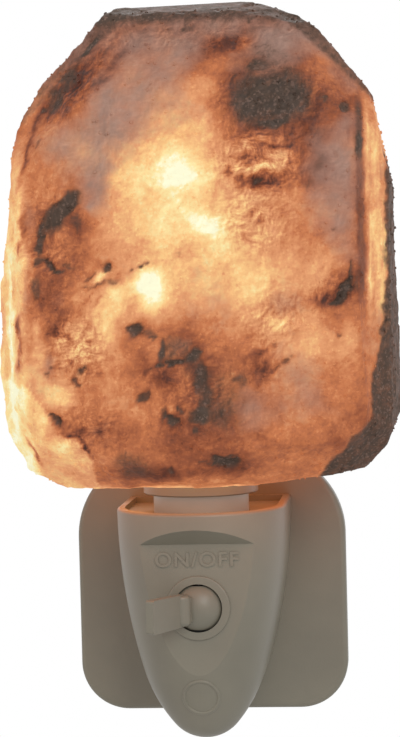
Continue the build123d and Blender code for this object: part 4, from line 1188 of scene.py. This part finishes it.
def salt_grains(crystal, material, settings):
    """Small grains that stand half out of the rock's outer face."""
    points = read_vectors(crystal.data.vertices, "co")
    radius, bore_top = bore_depth(points)
    edge = np.min(np.minimum(points - np.array(ROCK_LOW), np.array(ROCK_HIGH) - points), axis=1)
    free = smooth_step(edge, 0.5 * MM, 1.0 * MM) * (points[:, 2] > ROCK_LOW.z + 1.5 * MM)
    free *= (radius > COLLAR_RADIUS + 2 * MM) | (points[:, 2] > bore_top + 3 * MM)
    store(crystal.data, "open", free * (0.5 + 0.5 * smooth_step(field(points, 9 * MM, 3, 131.0), -0.2, 0.4)))
    seed = grain_seed()
    host = linked(crystal.copy())
    grains = grown(host, grain_tree(), "salt_grains", Grain=seed, Density=settings.grain_count,
                   Size=settings.grain_size, Seed=settings.seed, Material=material)
    bpy.data.objects.remove(seed)
    if not len(grains.data.polygons):
        raise RuntimeError("the rock has no grains")
    return grains


class NIGHTLIGHT_OT_rock(bpy.types.Operator):
    """Carve the rock-salt shade and lay its glow, dust, inclusions and painted shading"""
    bl_idname = "nightlight.rock"
    bl_label = "Rock-salt shade"

    def execute(self, context):
        settings = context.scene.nightlight_salt
        material = salt_material(settings)
        crystal = salt_crystal(settings)
        finished(salt_grains(crystal, material, settings), material, "crystal", "salt")
        finished(crystal, material, "crystal", "salt", "salt_crystal")
        return {"FINISHED"}


# ---- Moulded parts -------------------------------------------------------------
def raised_words(settings):
    """Raised ON/OFF letters on the panel over the switch."""
    data = bpy.data.curves.new("switch_words", "FONT")
    data.body = "ON/OFF"
    data.extrude = LETTER_EXTRUDE
    data.offset = LETTER_WEIGHT
    data.space_character = LETTER_SPACING
    obj = baked(linked(bpy.data.objects.new("switch_words", data)), "switch_words")
    points = read_vectors(obj.data.vertices, "co")
    low, high = points.min(0), points.max(0)
    share = (points - (low + high) / 2) / (high - low)
    width, relief, height = settings.words_size
    placed = np.stack([share[:, 0] * width, PANEL_Y - share[:, 2] * 2 * relief,
                       settings.words_height + share[:, 1] * height], 1)
    obj.data.vertices.foreach_set("co", placed.ravel())
    return outward(obj)


def raised_ring(settings):
    """Plain raised ring that lies on the housing's rounded nose."""
    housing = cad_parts["front_housing"]
    profile = [(-1, -0.5), (-0.85, 0.35), (-0.45, 0.85), (0, 1), (0.45, 0.85), (0.85, 0.35), (1, -0.5)]
    sides = 72
    points = []
    for side in range(sides):
        angle = math.tau * side / sides
        for across, rise in profile:
            reach = settings.ring_radius + across * settings.ring_width / 2
            start = (reach * math.cos(angle), 2 * CAD_LOW.y, settings.ring_height + reach * math.sin(angle))
            hit, place, normal = housing.ray_cast(start, (0, 1, 0))[:3]
            if not hit:
                raise RuntimeError("the ring leaves the housing")
            points.append(place + normal * rise * settings.ring_relief)
    count = len(profile)
    faces = []
    for side in range(sides):
        following = (side + 1) % sides
        for index in range(count):
            after = (index + 1) % count
            faces.append((side * count + index, side * count + after, following * count + after,
                          following * count + index))
    return outward(mesh_piece("nose_ring", points, faces))


class NIGHTLIGHT_OT_mouldings(bpy.types.Operator):
    """Give the moulded parts, the insulators and the wires their plastics"""
    bl_idname = "nightlight.mouldings"
    bl_label = "Moulded parts"

    def execute(self, context):
        settings = context.scene.nightlight_plastic
        colour = tuple(settings.housing_colour)
        moulding = plastic("greige_moulding", colour)
        dressed(moulding, "front_housing", "wall_plate", "switch_bezel", "switch_lever", "crystal_collar")
        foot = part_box("lamp_holder_sleeve")[0].z
        sleeve = lit_plastic("lit_sleeve", colour, SLEEVE_GLOW, foot + SLEEVE_GLOW_SPAN[0],
                             foot + SLEEVE_GLOW_SPAN[1], SLEEVE_GLOW_STRENGTH)
        dressed(sleeve, "lamp_holder_sleeve")
        finished(raised_words(settings), moulding, "base", "moulding")
        finished(raised_ring(settings), moulding, "base", "moulding")
        dressed(plastic("phenolic", tone(52, 42, 36), roughness=0.3, grain=1400.0), "socket_insulator")
        dressed(plastic("switch_nylon", tone(60, 60, 62), roughness=0.45), "switch_body")
        dressed(plastic("pressed_fibre", tone(88, 70, 55), roughness=0.8, grain=900.0,
                        height=0.08 * MM, variation=0.2), "blade_clamp")
        dressed(plastic("black_insulation", tone(28, 28, 30), roughness=0.38), "lead_live", "lead_switched")
        dressed(plastic("white_insulation", tone(214, 212, 204), roughness=0.4), "lead_neutral")
        dressed(plastic("black_glass_cone", tone(20, 20, 24), roughness=0.12), "bulb_cap_insulator")
        return {"FINISHED"}


# ---- Metal and bulb ------------------------------------------------------------
def threaded_cap(settings):
    """Bulb cap rolled from thin brass, with its round thread."""
    low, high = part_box("bulb_cap")
    radius, wall, bevel = (high.x - low.x) / 2, settings.cap_wall, 0.3 * MM
    skirt = high.z - 1.4 * MM
    bore = radius - settings.cap_thread - wall
    outline = [(0, low.z, 0), (radius - settings.cap_thread - bevel, low.z, 0),
               (radius - settings.cap_thread * 0.6, low.z + bevel, 0)]
    outline += threaded(radius, low.z + 2 * bevel, skirt, settings.cap_pitch / 14)
    outline += [(radius, high.z - 0.1 * MM, 0), (radius - 0.1 * MM, high.z, 0), (radius - wall, high.z, 0),
                (bore, skirt, 0), (bore, low.z + wall, 0), (0, low.z + wall, 0)]
    cap = turned("threaded_cap", outline, settings.cap_pitch, settings.cap_thread, sides=64)
    centre = middle("bulb_cap")
    cap.data.transform(Matrix.Translation((centre.x, centre.y, 0)))
    return cap


def cross_cutter(depth, arm, half_width):
    """Tapered cross that cuts a screw's recess, with its top over the head."""
    corners = [(arm, half_width), (half_width, half_width), (half_width, arm)]
    plan = []
    for quarter in range(4):
        turn = Matrix.Rotation(quarter * math.pi / 2, 3, "Z")
        plan += [turn @ Vector((x, y, 0)) for x, y in corners]
    count = len(plan)
    rings = [[point * 1.05 + UP * 0.1 * MM for point in plan], [point * 0.5 - UP * depth for point in plan]]
    faces = [tuple(range(count)), tuple(range(2 * count - 1, count - 1, -1))]
    for index in range(count):
        following = (index + 1) % count
        faces.append((index, following, following + count, index + count))
    return outward(mesh_piece("cross_cutter", rings[0] + rings[1], faces, smooth=False))


def cover_screw(settings, length):
    """One pan-head screw with a cross recess, head up at the origin."""
    head, shank, under = settings.screw_head, settings.screw_shank, -1.7 * MM
    outline = [(0, -length, 0), (0.3 * MM, 0.3 * MM - length, 0), (shank * 0.8, 1.2 * MM - length, 0)]
    outline += threaded(shank, 1.3 * MM - length, under - 0.4 * MM, settings.screw_pitch / 8)
    outline += [(shank * 0.85, under, 0), (head, under, 0)]
    for step in range(7):
        angle = step * math.pi / 12
        outline.append((head - 0.6 * MM * (1 - math.cos(angle)), -0.6 * MM + 0.6 * MM * math.sin(angle), 0))
    outline.append((0, 0, 0))
    screw = turned("cover_screw", outline, settings.screw_pitch, 0.22 * MM, sides=40)
    cutter = cross_cutter(1.1 * MM, 1.55 * MM, 0.32 * MM)
    cut = screw.modifiers.new("recess", "BOOLEAN")
    cut.operation = "DIFFERENCE"
    cut.solver = "EXACT"
    cut.object = cutter
    screw = baked(screw, "cover_screw")
    bpy.data.objects.remove(cutter)
    return screw


def screw_tree():
    """One screw set on each point, its head towards the wall."""
    graph, source, result = geometry_tree("screws_on_points", [
        ("Screw", "NodeSocketObject", None), ("Lean", "NodeSocketVector", None),
        ("Material", "NodeSocketMaterial", None)])
    screw = graph.add("GeometryNodeObjectInfo", Object=source.outputs["Screw"])
    placed = graph.add("GeometryNodeInstanceOnPoints", Points=source.outputs["Geometry"],
                       Instance=screw.outputs["Geometry"], Rotation=source.outputs["Lean"])
    return closed_tree(graph, source, result, placed.outputs["Instances"])


def cross_head_screws(settings, material):
    """The three cover screws in the back plate."""
    low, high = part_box("cover_screws")
    head = settings.screw_head
    places = [(low.x + head, high.y, high.z - head), (high.x - head, high.y, high.z - head),
              ((low.x + high.x) / 2, high.y, low.z + head)]
    holder = mesh_piece("screw_places", places, [])
    screw = cover_screw(settings, high.y - low.y)
    screws = grown(holder, screw_tree(), "cross_head_screws", Screw=screw, Lean=(-math.pi / 2, 0.0, 0.0),
                   Material=material)
    bpy.data.objects.remove(screw)
    return screws


def coil_tree():
    """Wire that follows a path and winds round it where the path's coil share is 1."""
    graph, source, result = geometry_tree("wound_wire", [
        ("Pitch", "NodeSocketFloat", 0.6 * MM), ("Radius", "NodeSocketFloat", 0.3 * MM),
        ("Wire", "NodeSocketFloat", 0.1 * MM), ("Count", "NodeSocketInt", 900),
        ("Material", "NodeSocketMaterial", None)])
    path = graph.add("GeometryNodeMeshToCurve", Mesh=source.outputs["Geometry"])
    even = graph.add("GeometryNodeResampleCurve", Curve=path.outputs["Curve"], Count=source.outputs["Count"])
    coil = graph.add("GeometryNodeInputNamedAttribute", {"data_type": "FLOAT"}, Name="coil")
    run = graph.add("GeometryNodeSplineParameter").outputs["Length"]
    angle = graph.maths("MULTIPLY", graph.maths("DIVIDE", run, source.outputs["Pitch"]), math.tau)
    reach = graph.maths("MULTIPLY", coil.outputs["Attribute"], source.outputs["Radius"])
    normal = graph.add("GeometryNodeInputNormal").outputs["Normal"]
    tangent = graph.add("GeometryNodeInputTangent").outputs["Tangent"]
    side = graph.vectors("CROSS_PRODUCT", tangent, normal)
    along, across = (
        graph.vectors("SCALE", direction, scale=graph.maths("MULTIPLY", graph.maths(wave, angle), reach))
        for direction, wave in ((normal, "COSINE"), (side, "SINE")))
    offset = graph.vectors("ADD", along, across)
    wound = graph.add("GeometryNodeSetPosition", Geometry=even.outputs["Curve"], Offset=offset)
    section = graph.add("GeometryNodeCurvePrimitiveCircle", Resolution=6, Radius=source.outputs["Wire"])
    wire = graph.add("GeometryNodeCurveToMesh", Curve=wound.outputs["Geometry"],
                     Profile_Curve=section.outputs["Curve"], Fill_Caps=True)
    return closed_tree(graph, source, result, wire.outputs["Mesh"])


def filament(settings, material):
    """Hot coil bent as an arch on its two support wires."""
    low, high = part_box("bulb_filament")
    reach = settings.coil_radius + settings.coil_wire
    legs = read_vectors(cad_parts["bulb_filament"].data.vertices, "co")
    legs = legs[legs[:, 2] < low.z + 1 * MM]
    foot = np.abs(legs[:, 0]).mean()
    half, top = high.x - reach, high.z - reach
    spring, depth = top - 2.4 * MM, (low.y + high.y) / 2
    places = [(-foot, depth, low.z + settings.coil_wire)]
    for step in range(ARCH_STEPS + 1):
        angle = math.pi * step / ARCH_STEPS
        places.append((-half * math.cos(angle), depth, spring + (top - spring) * math.sin(angle)))
    places.append((foot, depth, low.z + settings.coil_wire))
    path = mesh_piece("filament_path", places, [])
    count = len(places) - 1
    path.data.edges.add(count)
    path.data.edges.foreach_set("vertices", [end for index in range(count) for end in (index, index + 1)])
    share = np.ones(len(places))
    share[[0, 1, -2, -1]] = 0
    store(path.data, "coil", share)
    return grown(path, coil_tree(), "coiled_filament", Pitch=settings.coil_pitch, Radius=settings.coil_radius,
                 Wire=settings.coil_wire, Count=COIL_POINTS, Material=material)


class NIGHTLIGHT_OT_metals(bpy.types.Operator):
    """Give blades, contacts, screws and rivets their metals"""
    bl_idname = "nightlight.metals"
    bl_label = "Metal parts"

    def execute(self, context):
        settings = context.scene.nightlight_metal
        brass = metal("brass", tone(214, 178, 104), tone(142, 104, 58))
        plated = metal("plated_brass", tone(206, 204, 198), tone(150, 142, 126), roughness=0.24, tarnish=0.4)
        steel = metal("zinc_steel", tone(188, 190, 192), tone(120, 118, 112), roughness=0.32)
        solder = metal("solder", tone(186, 186, 184), tone(120, 118, 114), roughness=0.42)
        dressed(brass, "socket_screw_shell", "socket_centre_contact", "socket_rivets",
                "switch_wiper", "switch_contact", "switch_common")
        finished(threaded_cap(settings), brass, "bulb", "brass", "bulb_cap")
        dressed(plated, "live_blade", "neutral_blade")
        dressed(steel, "switch_pivot_pin")
        finished(cross_head_screws(settings, steel), steel, "base", "steel", "cover_screws")
        dressed(solder, "bulb_tip_contact")
        return {"FINISHED"}


class NIGHTLIGHT_OT_bulb(bpy.types.Operator):
    """Give the bulb its glass and its glowing coil"""
    bl_idname = "nightlight.bulb"
    bl_label = "Bulb"

    def execute(self, context):
        dressed(clear_glass("bulb_clear_glass", tone(250, 250, 248)), "bulb_glass")
        dressed(clear_glass("stem_glass", tone(225, 235, 228)), "bulb_stem")
        tungsten = glowing_wire("hot_tungsten")
        coil = filament(context.scene.nightlight_metal, tungsten)
        finished(coil, tungsten, "bulb", "filament", "bulb_filament")
        return {"FINISHED"}


# ---- Stage ---------------------------------------------------------------------
def camera(settings):
    """Camera at its place, turned to its target and rolled."""
    eye, target = Vector(settings.eye), Vector(settings.target)
    ahead = (target - eye).normalized()
    right = ahead.cross(UP).normalized()
    up = right.cross(ahead)
    lean = settings.roll
    turned_right = right * math.cos(lean) - up * math.sin(lean)
    turned_up = right * math.sin(lean) + up * math.cos(lean)
    data = bpy.data.cameras.new("camera")
    data.sensor_width = 36.0
    data.lens = settings.lens
    obj = linked(bpy.data.objects.new("camera", data))
    obj.matrix_world = Matrix.Translation(eye) @ Matrix((turned_right, turned_up, -ahead)).transposed().to_4x4()
    bpy.context.scene.camera = obj


def soft_lamp(name, place, size, power, colour):
    """Square soft light that looks at the middle of the object."""
    data = bpy.data.lights.new(name, "AREA")
    data.shape = "SQUARE"
    data.size = size
    data.energy = power
    data.color = colour
    obj = linked(bpy.data.objects.new(name, data))
    obj.location = place
    aim = (CAD_LOW + CAD_HIGH) / 2 - Vector(place)
    obj.rotation_euler = aim.to_track_quat("-Z", "Y").to_euler()


def bulb_spill():
    """Warm light that leaves the rock's open underside and falls on the plastic below it."""
    data = bpy.data.lights.new("bulb_spill", "AREA")
    data.shape = "DISK"
    data.size = SPILL_SIZE
    data.energy = SPILL_POWER
    data.color = SPILL_COLOUR
    obj = linked(bpy.data.objects.new("bulb_spill", data))
    obj.location = (AXIS.x, AXIS.y, ROCK_LOW.z - SPILL_GAP)
    obj.visible_camera = False


def white_to_the_eye(graph):
    """1 for rays that come from the camera or by way of gloss and glass."""
    path = graph.add("ShaderNodeLightPath")
    seen = graph.maths("ADD", path.outputs["Is Camera Ray"], path.outputs["Is Glossy Ray"], clamp=True)
    return graph.maths("ADD", seen, path.outputs["Is Transmission Ray"], clamp=True)


def room(settings):
    """Even ambient light, plain white where it is seen."""
    world = bpy.data.worlds.new("room")
    world.use_nodes = True
    bpy.context.scene.world = world
    graph = Graph(world.node_tree)
    background = world.node_tree.nodes["Background"]
    background.inputs["Color"].default_value = (1.0, 1.0, 1.0, 1.0)
    seen = white_to_the_eye(graph)
    graph.feed(background.inputs["Strength"],
               graph.maths("ADD", graph.maths("MULTIPLY", seen, 1.0 - settings.ambient), settings.ambient))


def floor(settings):
    """Pale floor far below, with the object's shadow in its middle and plain white further out."""
    height = CAD_LOW.z - settings.floor_drop
    corners = [(x * FLOOR_REACH, y * FLOOR_REACH, height) for x, y in ((-1, -1), (1, -1), (1, 1), (-1, 1))]
    plane = mesh_piece("floor", corners, [(0, 1, 2, 3)])
    material, graph, shader, place = new_material("pale_floor", Roughness=0.9)
    grain = graph.noise(place, 40.0, detail=4.0)
    graph.feed(shader.inputs["Base Color"],
               graph.ramp(grain, [(0.3, tone(236, 236, 236)), (0.7, tone(242, 242, 242))]))
    tree = material.node_tree
    output = tree.nodes["Material Output"]
    length = graph.add("ShaderNodeVectorMath", {"operation": "LENGTH"})
    graph.feed(length.inputs[0], graph.vectors("MULTIPLY", place, (1.0, 1.0, 0.0)))
    far = graph.remap(length.outputs["Value"], *FLOOR_FADE)
    glow = graph.add("ShaderNodeEmission", Color=(1.0, 1.0, 1.0, 1.0), Strength=1.0)
    open_back = graph.add("ShaderNodeBsdfTransparent")
    fade = graph.add("ShaderNodeMixShader")
    graph.feed(fade.inputs[0], graph.maths("MULTIPLY", far, white_to_the_eye(graph)))
    graph.feed(fade.inputs[1], shader.outputs[0])
    graph.feed(fade.inputs[2], glow.outputs[0])
    sides = graph.add("ShaderNodeMixShader")
    graph.feed(sides.inputs[0], graph.add("ShaderNodeNewGeometry").outputs["Backfacing"])
    graph.feed(sides.inputs[1], fade.outputs[0])
    graph.feed(sides.inputs[2], open_back.outputs[0])
    graph.feed(output.inputs["Surface"], sides.outputs[0])
    plane.data.materials.append(material)


class NIGHTLIGHT_OT_stage(bpy.types.Operator):
    """Set the floor, the soft lights, the room and the camera"""
    bl_idname = "nightlight.stage"
    bl_label = "Stage"

    def execute(self, context):
        settings = context.scene.nightlight_stage
        camera(settings)
        room(settings)
        floor(settings)
        for name, spec in LAMPS.items():
            soft_lamp(name, *spec)
        bulb_spill()
        context.scene.view_settings.view_transform = "Standard"
        return {"FINISHED"}


# ---- Panel and registration ----------------------------------------------------
STEPS = ["stage", "rock", "mouldings", "metals", "bulb"]


class NIGHTLIGHT_PT_panel(bpy.types.Panel):
    """Night light steps in the sidebar"""
    bl_idname = "NIGHTLIGHT_PT_panel"
    bl_label = "Night light"
    bl_space_type = "VIEW_3D"
    bl_region_type = "UI"
    bl_category = "Night light"

    def draw(self, context):
        for step in STEPS:
            self.layout.operator(f"nightlight.{step}")


CLASSES = [
    SaltSettings, PlasticSettings, MetalSettings, StageSettings,
    NIGHTLIGHT_OT_rock, NIGHTLIGHT_OT_mouldings, NIGHTLIGHT_OT_metals, NIGHTLIGHT_OT_bulb,
    NIGHTLIGHT_OT_stage, NIGHTLIGHT_PT_panel,
]
SETTINGS = {
    "nightlight_salt": SaltSettings,
    "nightlight_plastic": PlasticSettings,
    "nightlight_metal": MetalSettings,
    "nightlight_stage": StageSettings,
}


def register():
    """Make the classes and the settings known to Blender."""
    for item in CLASSES:
        bpy.utils.register_class(item)
    for name, group in SETTINGS.items():
        setattr(bpy.types.Scene, name, PointerProperty(type=group))


def unregister():
    """Take the settings and the classes out again."""
    for name in SETTINGS:
        delattr(bpy.types.Scene, name)
    for item in reversed(CLASSES):
        bpy.utils.unregister_class(item)


def main():
    """Dress the whole object."""
    register()
    moulded_grain_group()
    handling_group()
    salt_relief_group()
    for step in STEPS:
        getattr(bpy.ops.nightlight, step)()


if __name__ == "__main__":
    main()
